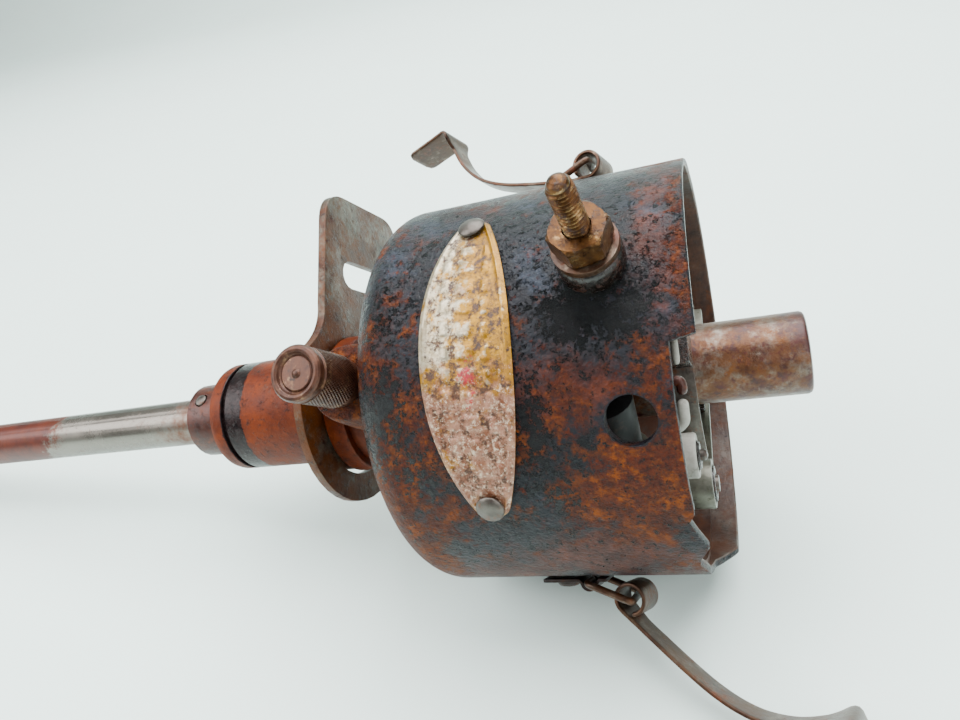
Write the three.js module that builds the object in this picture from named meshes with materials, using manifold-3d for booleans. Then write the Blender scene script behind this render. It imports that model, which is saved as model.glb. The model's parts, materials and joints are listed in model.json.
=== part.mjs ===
// Automotive ignition distributor with its cap and rotor taken off, lying on its side.
//
// Everything is drawn in the distributor's own frame and laid down once at the end. In that
// frame X runs along the shaft towards the open mouth of the bowl, with X = 0 at the rim, and
// a clock angle in degrees is measured round X, from -Y (0) towards +Z (90). All sizes are mm.
import * as THREE from 'three';
import { mergeVertices } from 'three/addons/utils/BufferGeometryUtils.js';
import Module from 'manifold-3d';

const wasm = await Module();
wasm.setup();

// ---------------------------------------------------------------- driving dimensions
const SEAT_GAP = 0.3;            // left between pieces that touch
const RUN_GAP = 0.3;             // left between a shaft and the bore it turns in
const BORE_GAP = 0.3;            // left round a screw or a stud in its hole

// cast housing: bowl, neck and shank
const BOWL_RADIUS = 42.5;
const BOWL_DEPTH = 63.8;         // rim to the outside of the floor
const BOWL_WALL = 2.7;
const BOWL_FLOOR = 4.0;
const SHOULDER_RADIUS = 8.0;     // rounding between the side and the floor
const SEAT_WALL = 1.6;           // wall left beside the cap seat
const SEAT_DEPTH = 5.7;
const FLOOR_RADIUS = 30.0;       // flat part of the floor's outside
const NECK_RADIUS = 14.8;
const NECK_FLANGE_RADIUS = 16.8;
const NECK_FLANGE_WIDTH = 5.0;
const PLATE_SHOULDER = 85.7;     // rim to the shoulder that the advance plate lies against
const SHANK_RADIUS = 14.0;
const SHANK_END = 122.0;         // rim to the free end of the shank
const SHANK_BEVEL = 2.2;
const SHANK_GROOVE_AT = 117.3;
const SHANK_GROOVE_WIDTH = 1.3;
const SHANK_GROOVE_DEPTH = 1.0;

// broken rim: [clock angle, depth below the full rim]
const RIM_BREAK = [
  [6.5, 0.0], [6.4, 3.6], [5.8, 4.1], [-16.0, 4.1], [-35.6, 4.15], [-38.2, 5.2], [-43.0, 4.3],
  [-48.7, 3.0], [-51.5, 3.9], [-54.6, 5.1], [-59.0, 5.5], [-67.9, 4.3], [-78.0, 4.8],
  [-88.8, 4.6], [-94.5, 2.5], [-100.3, 0.0],
];

// holes and fittings in the bowl's side
const NAMEPLATE_ANGLE = 7.6;     // the plate's middle; hole and stud stand evenly either side
const FITTING_SPREAD = 18.2;     // from the plate's middle to the hole and to the stud
const SIDE_HOLE_AT = 11.7;       // behind the rim
const SIDE_HOLE_RADIUS = 4.3;
const STUD_AT = 15.2;            // behind the rim

// nameplate
const NAMEPLATE_AT = 38.7;       // its middle, behind the rim
const NAMEPLATE_WIDTH = 17.4;
const NAMEPLATE_HALF_ARC = 40.5; // degrees from the middle to each tip
const NAMEPLATE_THICK = 0.6;
const NAMEPLATE_RIVET_ARC = 36.7;
const NAMEPLATE_RIVET_RADIUS = 2.7;
const TIP_WIDTH = 5.0;

// terminal stud and what is stacked on it
const STUD_RADIUS = 2.3;
const STUD_TIP = 65.5;           // from the distributor's axis
const STUD_HEAD_WIDTH = 7.5;
const STUD_HEAD_THICK = 2.4;
const INSULATOR_RADIUS = 5.8;
const INSULATOR_THICK = 4.6;
const INSULATOR_SLEEVE = 3.9;
const INNER_INSULATOR_THICK = 2.0;
const LOCK_WASHER_RADIUS = 5.7;
const LOCK_WASHER_THICK = 1.3;
const STUD_NUT_FLATS = 9.2;
const STUD_NUT_THICK = 4.5;

// grease cup
const CUP_AT = 71.2;             // behind the rim
const CUP_ANGLE = 8.5;
const CUP_RADIUS = 5.5;
const CUP_BASE = 33.4;           // where the knurled cap starts, from the axis
const CUP_TIP = 46.9;
const CUP_BOSS_RADIUS = 8.8;
const CUP_BOSS_TOP_RADIUS = 6.4;
const CUP_BOSS_TOP = 30.6;
const CUP_STEM_RADIUS = 3.4;
const CUP_CAP_WALL = 1.1;

// advance plate
const PLATE_THICK = 2.0;
const PLATE_DISC_RADIUS = 24.2;
const PLATE_ARM_ANGLE = 94.0;
const PLATE_ARM_REACH = 53.6;    // axis to the arm's straight end
const PLATE_ARM_NEAR_SIDE = { root: 12.0, end: 8.0 }; // arm's edges, from the line through the axis
const PLATE_ARM_FAR_SIDE = 28.0;
const PLATE_ARM_FILLET_ANGLE = 30.0; // where the near edge's fillet leaves the disc
const PLATE_ARM_CORNER = 8.0;
const PLATE_SLOT_OFFSET = 10.0;  // middle of the slot, towards the far side
const PLATE_SLOT_REACH = 33.3;
const PLATE_SLOT_LENGTH = 25.0;
const PLATE_SLOT_WIDTH = 7.3;
const PLATE_RELIEF = { from: -57.0, to: -118.0, radius: 17.5 }; // where its bore is cut wider
const RETAINER_RADIUS = 16.4;
const RETAINER_THICK = 1.6;

// drive shaft, thrust collar and bushings
const SHAFT_RADIUS = 6.2;
const SHAFT_END = 340.0;         // rim to the end of the drive tang
const TANG_LENGTH = 7.0;
const TANG_THICK = 4.6;
const TANG_ANGLE = 52.0;         // clock angle of its broad way
const SHAFT_BEVEL = 0.6;
const SPIGOT_RADIUS = 4.0;
const COLLAR_RADIUS = 9.6;
const COLLAR_LENGTH = 9.4;
const COLLAR_PIN_RADIUS = 1.6;
const COLLAR_PIN_ANGLE = 35.0;
const THRUST_WASHER_THICK = 1.0;
const BUSHING_WALL = 2.0;
const BUSHING_LENGTH = 22.0;

// centrifugal governor
const GOVERNOR_AT = 54.0;        // rim to the underside of its plate
const GOVERNOR_PLATE_THICK = 2.0;
const GOVERNOR_RADIUS = 29.0;
const WEIGHT_THICK = 6.5;
const WEIGHT_INNER = 12.5;
const WEIGHT_OUTER = 27.0;
const WEIGHT_HALF_ARC = 62.0;
const WEIGHT_PIN_CIRCLE = 21.5;
const WEIGHT_PIN_RADIUS = 2.4;
const WEIGHT_PIN_OFFSET = 47.0;  // degrees from the weight's middle to its pin
const GOVERNOR_SPRING_RADIUS = 2.1;
const SPRING_PEG_RADIUS = 1.5;
const SPRING_PEG_CIRCLE = 23.0;
const SPRING_PEG_OFFSET = 62.0;  // degrees from a weight's pin to the peg its spring runs to

// cam sleeve and the stub that carries the rotor
const STUB_RADIUS = 8.4;
const STUB_TIP = 18.3;           // beyond the rim
const STUB_EDGE = 0.9;
const CAM_LOBES = 6;
const CAM_PEAK_RADIUS = 10.6;
const CAM_LIFT = 0.8;
const CAM_TOP = 7.5;             // behind the rim
const CAM_BOTTOM = 17.0;
const CAM_YOKE_RADIUS = 11.5;
const CAM_YOKE_THICK = 2.0;
const ROTOR_SLOT_WIDTH = 3.0;
const ROTOR_SLOT_DEPTH = 1.4;
const ROTOR_SLOT_LENGTH = 13.0;
const WICK_LENGTH = 5.0;

// breaker plate and what stands on it
const BREAKER_PLATE_AT = 28.0;   // rim to its upper face
const BREAKER_PLATE_THICK = 1.6;
const BREAKER_PLATE_HOLE = 13.0;
const PLATE_WINDOW = { from: 75.0, to: 140.0, inner: 16.0, outer: 36.0 }; // above the governor
const LUG_WIDTH = 9.0;
const LUG_REACH = 6.0;
const LUG_ANGLES = [60.0, 180.0, -60.0];
const LUG_HEIGHT = 7.0;
const SCREW_RADIUS = 1.7;
const SCREW_HEAD_RADIUS = 3.2;
const SCREW_HEAD_THICK = 2.0;
const PIVOT = { angle: -75.0, radius: 25.0 };
const PIVOT_RADIUS = 2.0;
const PIVOT_BUSH_RADIUS = 3.6;
const ARM_LEVEL = 2.4;           // rim to the arm's upper edge
const ARM_WIDTH = 5.6;
const ARM_SHEET = 1.1;
const CONTACT = { angle: 165.0, radius: 28.0 };
const CONTACT_RADIUS = 2.2;
const CONTACT_THICK = 1.2;
const SPRING_ARC_RADIUS = 22.0;
const SPRING_SHEET = 0.5;
const SPRING_POST_ANGLE = 8.0;
const CONDENSER = { angle: -30.0, radius: 29.0 };
const CONDENSER_RADIUS = 6.6;
const CONDENSER_LENGTH = 23.0;
const CONDENSER_LIFT = 2.2;      // above the breaker plate
const CONDENSER_SCREW_IN = 12.0; // from the condenser's middle line towards the shaft
const STRAP_SHEET = 1.0;
const STRAP_WIDTH = 8.0;
const STRAP_AT = 3.5;            // along the condenser from its middle
const LEAD_RADIUS = 1.1;

// cap clips
const CLIP_ANGLES = { upper: 97.6, lower: -82.4 };
const CLIP_OPENING = { upper: 179.0, lower: 53.5 }; // degrees each one is swung back
const CLIP_EYE_LIFT = { upper: 5.4, lower: 4.7 };   // eye's centre above the bowl
const CLIP_SKEW = { upper: -12.0, lower: 12.0 };    // degrees each one is bent round its bail
const CLIP_SHEET = 0.9;
const CLIP_EYE_RADIUS = 3.0;     // of the sheet's middle line
const CLIP_EYE_WIDTH = 8.0;
const CLIP_ARM_WIDTH = 6.2;
const CLIP_HOOK_WIDTH = 10.5;
const CLIP_ARM = [[0, 3.0], [5, 2.4], [10, 1.4], [16, 0.1], [22, -1.5], [27, -3.6], [31, -6.4], [34.5, -10.6],
  [37, -16]];
const CLIP_RIDGE = [38.0, -19.6];
const CLIP_LIP = [50.3, -16.2];
const CLIP_FLARE = 4.0;          // height of the flare between the narrow arm and the hook
const BAIL_WIRE_RADIUS = 0.8;
const BAIL_WIDTH = 12.4;
const BAIL_LENGTH = 9.5;         // between its two bars
const BRACKET_WIDTH = 8.6;
const BRACKET_SHEET = 0.8;
const BRACKET_KNUCKLE_AT = 29.6; // hump over the bail, behind the rim
const BRACKET_TAIL_AT = 39.5;
const CLIP_RIVET_AT = 35.0;
const CLIP_RIVET_RADIUS = 2.6;

// facets round a full turn
const ROUND = { bowl: 48, turned: 28, small: 14, wire: 8 };

// ---------------------------------------------------------------- helpers
const rad = THREE.MathUtils.degToRad;

/** Unit vector pointing away from the axis at a clock angle. */
const outward = (angle) => new THREE.Vector3(0, -Math.cos(rad(angle)), Math.sin(rad(angle)));

/** Point at a place along the axis, a distance from it, and a clock angle. */
const at = (x, radius, angle) => outward(angle).multiplyScalar(radius).setX(x);

/** A merged copy of a geometry as a manifold solid. */
function solid(geometry) {
  const bare = geometry.clone();
  bare.deleteAttribute('normal');
  bare.deleteAttribute('uv');
  const merged = mergeVertices(bare, 1e-4);
  const index = merged.index.array;
  const triangles = [];
  for (let i = 0; i < index.length; i += 3) {
    const [a, b, c] = [index[i], index[i + 1], index[i + 2]];
    if (a !== b && b !== c && c !== a) triangles.push(a, b, c);
  }
  return new wasm.Manifold(new wasm.Mesh({
    numProp: 3,
    vertProperties: Float32Array.from(merged.attributes.position.array),
    triVerts: Uint32Array.from(triangles),
  }));
}

/** A manifold solid as a geometry again. */
function surface(body) {
  const mesh = body.getMesh();
  const geometry = new THREE.BufferGeometry();
  geometry.setAttribute('position', new THREE.BufferAttribute(mesh.vertProperties, 3));
  geometry.setIndex(new THREE.BufferAttribute(mesh.triVerts, 1));
  return geometry;
}

/** The first geometry with the others cut away from it. */
function cut(base, ...tools) {
  return surface(tools.reduce((body, tool) => body.subtract(solid(tool)), solid(base)));
}

/** All the geometries joined into one. */
function join(base, ...others) {
  return surface(others.reduce((body, other) => body.add(solid(other)), solid(base)));
}

/** A [x, radius] outline turned round the X axis; it may start and end on the axis. */
function turned(outline, facets = ROUND.turned) {
  const points = outline.map(([x, radius]) => new THREE.Vector2(radius, x));
  if (points[0].x > 0 || points.at(-1).x > 0) points.push(points[0].clone());
  if (THREE.ShapeUtils.area(points) < 0) points.reverse();
  return new THREE.LatheGeometry(points, facets).rotateZ(-Math.PI / 2);
}

/** A rod along X from one place to another. */
function rod(from, to, radius, facets = ROUND.turned) {
  return turned([[from, 0], [from, radius], [to, radius], [to, 0]], facets);
}

/** A tube along X. */
function tube(from, to, inner, outer, facets = ROUND.turned) {
  return turned([[from, inner], [from, outer], [to, outer], [to, inner]], facets);
}

/** Points of an arc, from one angle to another in degrees. */
function arc(centreX, centreY, radius, from, to, steps) {
  return Array.from({ length: steps + 1 }, (_, i) => {
    const a = rad(from + (to - from) * i / steps);
    return [centreX + radius * Math.cos(a), centreY + radius * Math.sin(a)];
  });
}

/** Points of a full circle round the origin. */
const circle = (radius, steps) => arc(0, 0, radius, 0, 360 - 360 / steps, steps - 1);

/** A closed shape from [x, y] points. */
const outlineShape = (points) => new THREE.Shape(points.map(([x, y]) => new THREE.Vector2(x, y)));

/** A point as seen along the axis, -Y to the right and Z up. */
const polar = ({ angle, radius }) =>
  new THREE.Vector2(radius * Math.cos(rad(angle)), radius * Math.sin(rad(angle)));

/** A round rod along X at a point given as seen along the axis. */
const standing = (point, radius, from, to, facets = ROUND.small) =>
  rod(from, to, radius, facets).translate(0, -point.x, point.y);

/** A flat piece square to X: its shape is drawn looking along the axis, -Y right and Z up. */
function sheetAcross(shape, from, to, holes = []) {
  shape.holes.push(...holes);
  const flat = new THREE.ExtrudeGeometry(shape, { depth: to - from, bevelEnabled: false, curveSegments: 12 });
  const basis = new THREE.Matrix4().makeBasis(
    new THREE.Vector3(0, -1, 0), new THREE.Vector3(0, 0, 1), new THREE.Vector3(-1, 0, 0));
  return flat.applyMatrix4(basis).translate(to, 0, 0);
}

/** Turns a piece drawn with +Y outward so that it stands out at a clock angle. */
const stand = (geometry, angle, x = 0) => geometry.rotateX(Math.PI - rad(angle)).translate(x, 0, 0);

/** A round [radius, height] outline stood up along +Y. */
function upright(outline, facets = ROUND.small) {
  const points = outline.map(([radius, y]) => new THREE.Vector2(radius, y));
  if (points[0].x > 0 || points.at(-1).x > 0) points.push(points[0].clone());
  if (THREE.ShapeUtils.area(points) < 0) points.reverse();
  return new THREE.LatheGeometry(points, facets);
}

/** An upright round post. */
const post = (radius, from, to, facets = ROUND.small) =>
  upright([[0, from], [radius, from], [radius, to], [0, to]], facets);

/** An upright round washer. */
const washer = (inner, outer, from, to, facets = ROUND.small) =>
  upright([[inner, from], [outer, from], [outer, to], [inner, to]], facets);

/** An upright six-sided nut round a bore. */
function hexNut(flats, bore, from, to) {
  const hex = new THREE.CylinderGeometry(flats / Math.sqrt(3), flats / Math.sqrt(3), to - from, 6);
  return cut(hex.translate(0, (from + to) / 2, 0), post(bore, from - 1, to + 1));
}

/**
 * A curved band that follows the bowl. Each station is {angle, from, to}: how far behind the
 * rim the band starts and stops at that clock angle. It fills the radii from inner to outer.
 */
function band(stations, inner, outer) {
  const points = stations.flatMap(({ angle, from, to }) => [
    at(-to, inner, angle), at(-from, inner, angle), at(-from, outer, angle), at(-to, outer, angle)]);
  const faces = [[0, 1, 2], [0, 2, 3]];
  const last = 4 * (stations.length - 1);
  for (let i = 0; i < last; i += 4) {
    for (let side = 0; side < 4; side += 1) {
      const next = (side + 1) % 4;
      faces.push([i + side, i + 4 + side, i + 4 + next], [i + side, i + 4 + next, i + next]);
    }
  }
  faces.push([last, last + 2, last + 1], [last, last + 3, last + 2]);
  const falling = stations[0].angle > stations.at(-1).angle;
  const geometry = new THREE.BufferGeometry().setFromPoints(points);
  geometry.setIndex(faces.flatMap(([a, b, c]) => (falling ? [a, c, b] : [a, b, c])));
  return geometry;
}

/** A sheet-metal strip: a middle line of [x, y] points thickened and drawn out along Z. */
function strip(line, sheet, width) {
  const middle = line.map(([x, y]) => new THREE.Vector2(x, y));
  const normals = middle.map((_, i) => {
    const along = middle[Math.min(i + 1, middle.length - 1)].clone().sub(middle[Math.max(i - 1, 0)]);
    return new THREE.Vector2(-along.y, along.x).normalize().multiplyScalar(sheet / 2);
  });
  const near = middle.map((point, i) => point.clone().sub(normals[i]));
  const far = middle.map((point, i) => point.clone().add(normals[i])).reverse();
  return new THREE.ExtrudeGeometry(new THREE.Shape([...near, ...far]),
    { depth: width, bevelEnabled: false }).translate(0, 0, -width / 2);
}

/** A round wire along a smooth curve through the given points. */
function wire(points, radius, steps, tension = 0.5) {
  const path = new THREE.CatmullRomCurve3(points, false, 'catmullrom', tension);
  const section = outlineShape(arc(0, 0, radius, 0, 360 * (1 - 1 / ROUND.wire), ROUND.wire - 1));
  return new THREE.ExtrudeGeometry(section, { steps, extrudePath: path, bevelEnabled: false });
}

/** A box given by its low and high corners. */
function block(low, high) {
  const size = high.map((value, i) => value - low[i]);
  return new THREE.BoxGeometry(...size).translate(...low.map((value, i) => value + size[i] / 2));
}

// ---------------------------------------------------------------- finishes
const FINISH = {
  enamel: [0x2f3338, 0.45, 0.3],
  rustySteel: [0x8a4a2a, 0.8, 0.5],
  steel: [0x8f8c86, 0.45, 0.9],
  springSteel: [0x6b5548, 0.55, 0.8],
  bronze: [0x9a7446, 0.5, 0.9],
  brass: [0xb59a5c, 0.5, 0.8],
  plated: [0xc9c8bd, 0.4, 0.7],
  fibre: [0x2a2320, 0.8, 0.0],
  felt: [0x6d6048, 1.0, 0.0],
  rubber: [0x33302d, 0.7, 0.0],
  copper: [0x8d5b3c, 0.5, 0.9],
};

const distributor = new THREE.Group();

/** Adds one named piece to a group. */
function piece(name, geometry, finish, parent = distributor) {
  const [color, roughness, metalness] = FINISH[finish];
  const mesh = new THREE.Mesh(geometry, new THREE.MeshStandardMaterial({ color, roughness, metalness }));
  mesh.name = name;
  parent.add(mesh);
  return mesh;
}

/** A group whose pieces are drawn with +Y outward, stood at a clock angle behind the rim. */
function stationAt(angle, behindRim) {
  const group = new THREE.Group();
  group.rotation.x = Math.PI - rad(angle);
  group.position.x = -behindRim;
  distributor.add(group);
  return group;
}

// ---------------------------------------------------------------- housing
const BOWL_INNER = BOWL_RADIUS - BOWL_WALL;
const BUSHING_RADIUS = SHAFT_RADIUS + RUN_GAP + BUSHING_WALL;
const STUD_ANGLE = NAMEPLATE_ANGLE + FITTING_SPREAD;
const SIDE_HOLE_ANGLE = NAMEPLATE_ANGLE - FITTING_SPREAD;
const CUP_STEM_BOTTOM = BUSHING_RADIUS + 1.5;
const LUG_TOP = BREAKER_PLATE_AT + BREAKER_PLATE_THICK + SEAT_GAP;

/** Outline of the bowl, neck and shank, with the inside of the bowl and the shaft's bore. */
function housingOutline() {
  const shoulder = arc(-BOWL_DEPTH + SHOULDER_RADIUS, BOWL_RADIUS - SHOULDER_RADIUS,
    SHOULDER_RADIUS, 90, 165, 5);
  const groove = -SHANK_GROOVE_AT;
  const flange = -PLATE_SHOULDER + NECK_FLANGE_WIDTH;
  const bore = BUSHING_RADIUS + SEAT_GAP;
  const floor = -BOWL_DEPTH + BOWL_FLOOR;
  return [
    [-SEAT_DEPTH, BOWL_INNER],
    [-SEAT_DEPTH, BOWL_RADIUS - SEAT_WALL],
    [0, BOWL_RADIUS - SEAT_WALL],
    [0, BOWL_RADIUS],
    ...shoulder,
    [-BOWL_DEPTH - 0.4, FLOOR_RADIUS],
    [-BOWL_DEPTH - 2.4, NECK_RADIUS + 6],
    [-BOWL_DEPTH - 7.4, NECK_RADIUS],
    [flange, NECK_RADIUS],
    [flange, NECK_FLANGE_RADIUS],
    [-PLATE_SHOULDER, NECK_FLANGE_RADIUS],
    [-PLATE_SHOULDER, SHANK_RADIUS],
    [groove + SHANK_GROOVE_WIDTH, SHANK_RADIUS],
    [groove + SHANK_GROOVE_WIDTH, SHANK_RADIUS - SHANK_GROOVE_DEPTH],
    [groove, SHANK_RADIUS - SHANK_GROOVE_DEPTH],
    [groove, SHANK_RADIUS],
    [-SHANK_END + SHANK_BEVEL, SHANK_RADIUS],
    [-SHANK_END + SHANK_BEVEL / 3, SHANK_RADIUS - SHANK_BEVEL / 3],
    [-SHANK_END, SHANK_RADIUS - SHANK_BEVEL],
    [-SHANK_END, bore],
    [floor, bore],
    [floor, BOWL_INNER - 6],
    [floor + 2, BOWL_INNER - 2],
    [floor + 6, BOWL_INNER],
  ];
}

/** Cone-shaped boss on the neck that takes the grease cup. */
function cupBoss() {
  return stand(upright([[0, BUSHING_RADIUS + 3], [CUP_BOSS_RADIUS, BUSHING_RADIUS + 3],
    [CUP_BOSS_RADIUS, CUP_BOSS_TOP - 8], [CUP_BOSS_TOP_RADIUS, CUP_BOSS_TOP], [0, CUP_BOSS_TOP]], 24),
  CUP_ANGLE, -CUP_AT);
}

/** Lug inside the bowl that a corner of the breaker plate is screwed to. */
function plateLug(angle) {
  const low = [-LUG_TOP - LUG_HEIGHT, BOWL_INNER - LUG_REACH, -LUG_WIDTH / 2];
  const lug = stand(block(low, [-LUG_TOP, BOWL_INNER + BOWL_WALL / 2, LUG_WIDTH / 2]), angle);
  return cut(lug, lugDrilling(angle));
}

const LUG_SCREW_CIRCLE = BOWL_INNER - SCREW_HEAD_RADIUS - SEAT_GAP;

function lugDrilling(angle) {
  const screw = at(0, LUG_SCREW_CIRCLE, angle);
  return rod(-LUG_TOP - LUG_HEIGHT + 1.5, -LUG_TOP + 1, SCREW_RADIUS + BORE_GAP, ROUND.small)
    .translate(0, screw.y, screw.z);
}

/** The part of the rim that is broken away. */
function rimBreak() {
  const clear = -6;
  return band(RIM_BREAK.map(([angle, depth]) => ({ angle, from: clear, to: depth })),
    BOWL_INNER - 6, BOWL_RADIUS + 6);
}

function makeHousing() {
  const casting = join(turned(housingOutline(), ROUND.bowl), cupBoss(), ...LUG_ANGLES.map(plateLug));
  const shell = cut(casting,
    rimBreak(),
    stand(post(SIDE_HOLE_RADIUS, BOWL_INNER - 5, BOWL_RADIUS + 5), SIDE_HOLE_ANGLE, -SIDE_HOLE_AT),
    stand(post(INSULATOR_SLEEVE + BORE_GAP, BOWL_INNER - 5, BOWL_RADIUS + 5), STUD_ANGLE, -STUD_AT),
    stand(post(CUP_STEM_RADIUS + BORE_GAP, CUP_STEM_BOTTOM - SEAT_GAP, CUP_BOSS_TOP + 1), CUP_ANGLE, -CUP_AT));
  piece('housing', shell, 'enamel');
}

function makeBushings() {
  const inner = SHAFT_RADIUS + RUN_GAP;
  const upper = -BOWL_DEPTH + BOWL_FLOOR;
  piece('upper_bushing', tube(upper - BUSHING_LENGTH, upper, inner, BUSHING_RADIUS), 'bronze');
  piece('lower_bushing', tube(-SHANK_END, -SHANK_END + BUSHING_LENGTH, inner, BUSHING_RADIUS), 'bronze');
}

// ---------------------------------------------------------------- nameplate and grease cup
/** How wide the leaf-shaped nameplate is at an angle from its middle. */
function nameplateWidth(offset) {
  const share = Math.abs(offset) / NAMEPLATE_HALF_ARC;
  const leaf = TIP_WIDTH + (NAMEPLATE_WIDTH - TIP_WIDTH) * (1 - share ** 2.2);
  const roundedTip = Math.sqrt(Math.max(0, 1 - Math.max(0, (share - 0.93) / 0.07) ** 2));
  return Math.max(1.0, leaf * roundedTip);
}

function makeNameplate() {
  const steps = 26;
  const stations = Array.from({ length: steps + 1 }, (_, i) => {
    const offset = NAMEPLATE_HALF_ARC * (2 * i / steps - 1);
    const half = nameplateWidth(offset) / 2;
    return { angle: NAMEPLATE_ANGLE + offset, from: NAMEPLATE_AT - half, to: NAMEPLATE_AT + half };
  });
  const under = BOWL_RADIUS + SEAT_GAP;
  piece('nameplate', band(stations, under, under + NAMEPLATE_THICK), 'brass');
  const top = under + NAMEPLATE_THICK + SEAT_GAP;
  for (const [name, side] of [['nameplate_rivet_upper', 1], ['nameplate_rivet_lower', -1]]) {
    const group = stationAt(NAMEPLATE_ANGLE + side * NAMEPLATE_RIVET_ARC, NAMEPLATE_AT);
    const head = upright([[0, top], [NAMEPLATE_RIVET_RADIUS, top], [NAMEPLATE_RIVET_RADIUS, top + 0.4],
      [NAMEPLATE_RIVET_RADIUS * 0.7, top + 0.9], [0, top + 1.1]]);
    piece(name, head, 'steel', group);
  }
}

function makeGreaseCup() {
  const group = stationAt(CUP_ANGLE, CUP_AT);
  const base = CUP_BOSS_TOP + SEAT_GAP;
  const stemTop = CUP_TIP - 5;
  const bore = 1.2;
  piece('grease_cup_stem', upright([[bore, CUP_STEM_BOTTOM], [CUP_STEM_RADIUS, CUP_STEM_BOTTOM],
    [CUP_STEM_RADIUS, base], [CUP_RADIUS - 0.4, base], [CUP_RADIUS - 0.4, CUP_BASE - SEAT_GAP],
    [CUP_STEM_RADIUS, CUP_BASE - SEAT_GAP], [CUP_STEM_RADIUS, stemTop], [bore, stemTop]], 24), 'bronze', group);
  const wall = CUP_RADIUS - CUP_CAP_WALL;
  const roof = CUP_TIP - 1.6;
  piece('grease_cup_cap', upright([[wall, CUP_BASE], [CUP_RADIUS, CUP_BASE], [CUP_RADIUS, CUP_TIP - 0.8],
    [CUP_RADIUS - 0.8, CUP_TIP], [CUP_RADIUS - 1.6, CUP_TIP], [CUP_RADIUS - 1.9, CUP_TIP - 0.7],
    [0, CUP_TIP - 0.7], [0, roof], [wall, roof]], 24), 'bronze', group);
}

// ---------------------------------------------------------------- terminal
function makeTerminal() {
  const group = stationAt(STUD_ANGLE, STUD_AT);
  const innerFace = Math.sqrt(BOWL_INNER ** 2 - INSULATOR_RADIUS ** 2) - SEAT_GAP;
  const underInner = innerFace - INNER_INSULATOR_THICK;
  const headTop = underInner - SEAT_GAP;
  const flange = BOWL_RADIUS + SEAT_GAP;
  const flangeTop = flange + INSULATOR_THICK;
  const hole = STUD_RADIUS + BORE_GAP;
  piece('terminal_insulator_outer', upright([[hole, innerFace + SEAT_GAP], [INSULATOR_SLEEVE, innerFace + SEAT_GAP],
    [INSULATOR_SLEEVE, flange], [INSULATOR_RADIUS, flange], [INSULATOR_RADIUS, flangeTop - 0.8],
    [INSULATOR_RADIUS - 0.8, flangeTop], [hole, flangeTop]], 24), 'fibre', group);
  piece('terminal_insulator_inner', washer(hole, INSULATOR_RADIUS, underInner, innerFace, 24), 'fibre', group);
  const lock = flangeTop + SEAT_GAP;
  const split = block([1, lock - 1, -0.6], [LOCK_WASHER_RADIUS + 1, lock + LOCK_WASHER_THICK + 1, 0.6]);
  const ring = washer(hole, LOCK_WASHER_RADIUS, lock, lock + LOCK_WASHER_THICK, 24);
  piece('terminal_lock_washer', cut(ring, split.rotateY(rad(150))), 'springSteel', group);
  const nut = lock + LOCK_WASHER_THICK + SEAT_GAP;
  piece('terminal_nut', hexNut(STUD_NUT_FLATS, hole, nut, nut + STUD_NUT_THICK).rotateY(rad(18)), 'bronze', group);
  const head = block([-STUD_HEAD_WIDTH / 2, headTop - STUD_HEAD_THICK, -STUD_HEAD_WIDTH / 2],
    [STUD_HEAD_WIDTH / 2, headTop, STUD_HEAD_WIDTH / 2]);
  const shank = upright([[0, headTop - 1], [STUD_RADIUS, headTop - 1], [STUD_RADIUS, STUD_TIP - 1.5],
    [STUD_RADIUS - 0.9, STUD_TIP - 0.3], [0, STUD_TIP]]);
  piece('terminal_stud', join(head, shank), 'bronze', group);
  return headTop - STUD_HEAD_THICK;
}

// ---------------------------------------------------------------- cap clips
/** Middle line of the spring clip: rolled eye round the origin, arm along +X, hook and lip. */
function clipLine() {
  const eye = arc(0, 0, CLIP_EYE_RADIUS, 395, 100, 18);
  const curve = new THREE.SplineCurve(CLIP_ARM.map(([x, y]) => new THREE.Vector2(x, y * CLIP_EYE_RADIUS / 3)));
  const arm = curve.getPoints(16).map((point) => [point.x, point.y]);
  const [ridgeX, ridgeY] = CLIP_RIDGE;
  const ridge = [[ridgeX - 0.5, ridgeY + 0.9], [ridgeX, ridgeY], [ridgeX + 0.9, ridgeY - 0.2]];
  return [...eye, ...arm, ...ridge, CLIP_LIP];
}

/** One spring clip with its eye on the origin, narrowed between the eye and the hook. */
function clipStrip() {
  const neckStart = CLIP_EYE_RADIUS + 2;
  const [ridgeX, ridgeY] = CLIP_RIDGE;
  const flank = (side, half, from, to) => {
    const z = side > 0 ? [half, CLIP_HOOK_WIDTH] : [-CLIP_HOOK_WIDTH, -half];
    return block([from, ridgeY + CLIP_FLARE, z[0]], [to, 2 * CLIP_EYE_RADIUS, z[1]]);
  };
  const trims = [1, -1].flatMap((side) => [
    flank(side, CLIP_EYE_WIDTH / 2, -2 * CLIP_EYE_RADIUS, neckStart + 0.01),
    flank(side, CLIP_ARM_WIDTH / 2, neckStart, ridgeX + 2),
  ]);
  return cut(strip(clipLine(), CLIP_SHEET, CLIP_HOOK_WIDTH), ...trims);
}

/** Bracket riveted to the bowl, with a hump over the inner bar of the bail. */
function bracketStrip(knuckle, tail) {
  const hump = BAIL_WIRE_RADIUS + BORE_GAP + BRACKET_SHEET / 2;
  const base = BOWL_RADIUS + SEAT_GAP + BRACKET_SHEET / 2;
  const over = arc(knuckle.x, knuckle.y, hump, 165, 15, 8);
  return strip([[tail, base], [knuckle.x - hump - 0.6, base], ...over, [knuckle.x + hump + 0.6, base],
    [knuckle.x + hump + 2.2, base]], BRACKET_SHEET, BRACKET_WIDTH);
}

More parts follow.
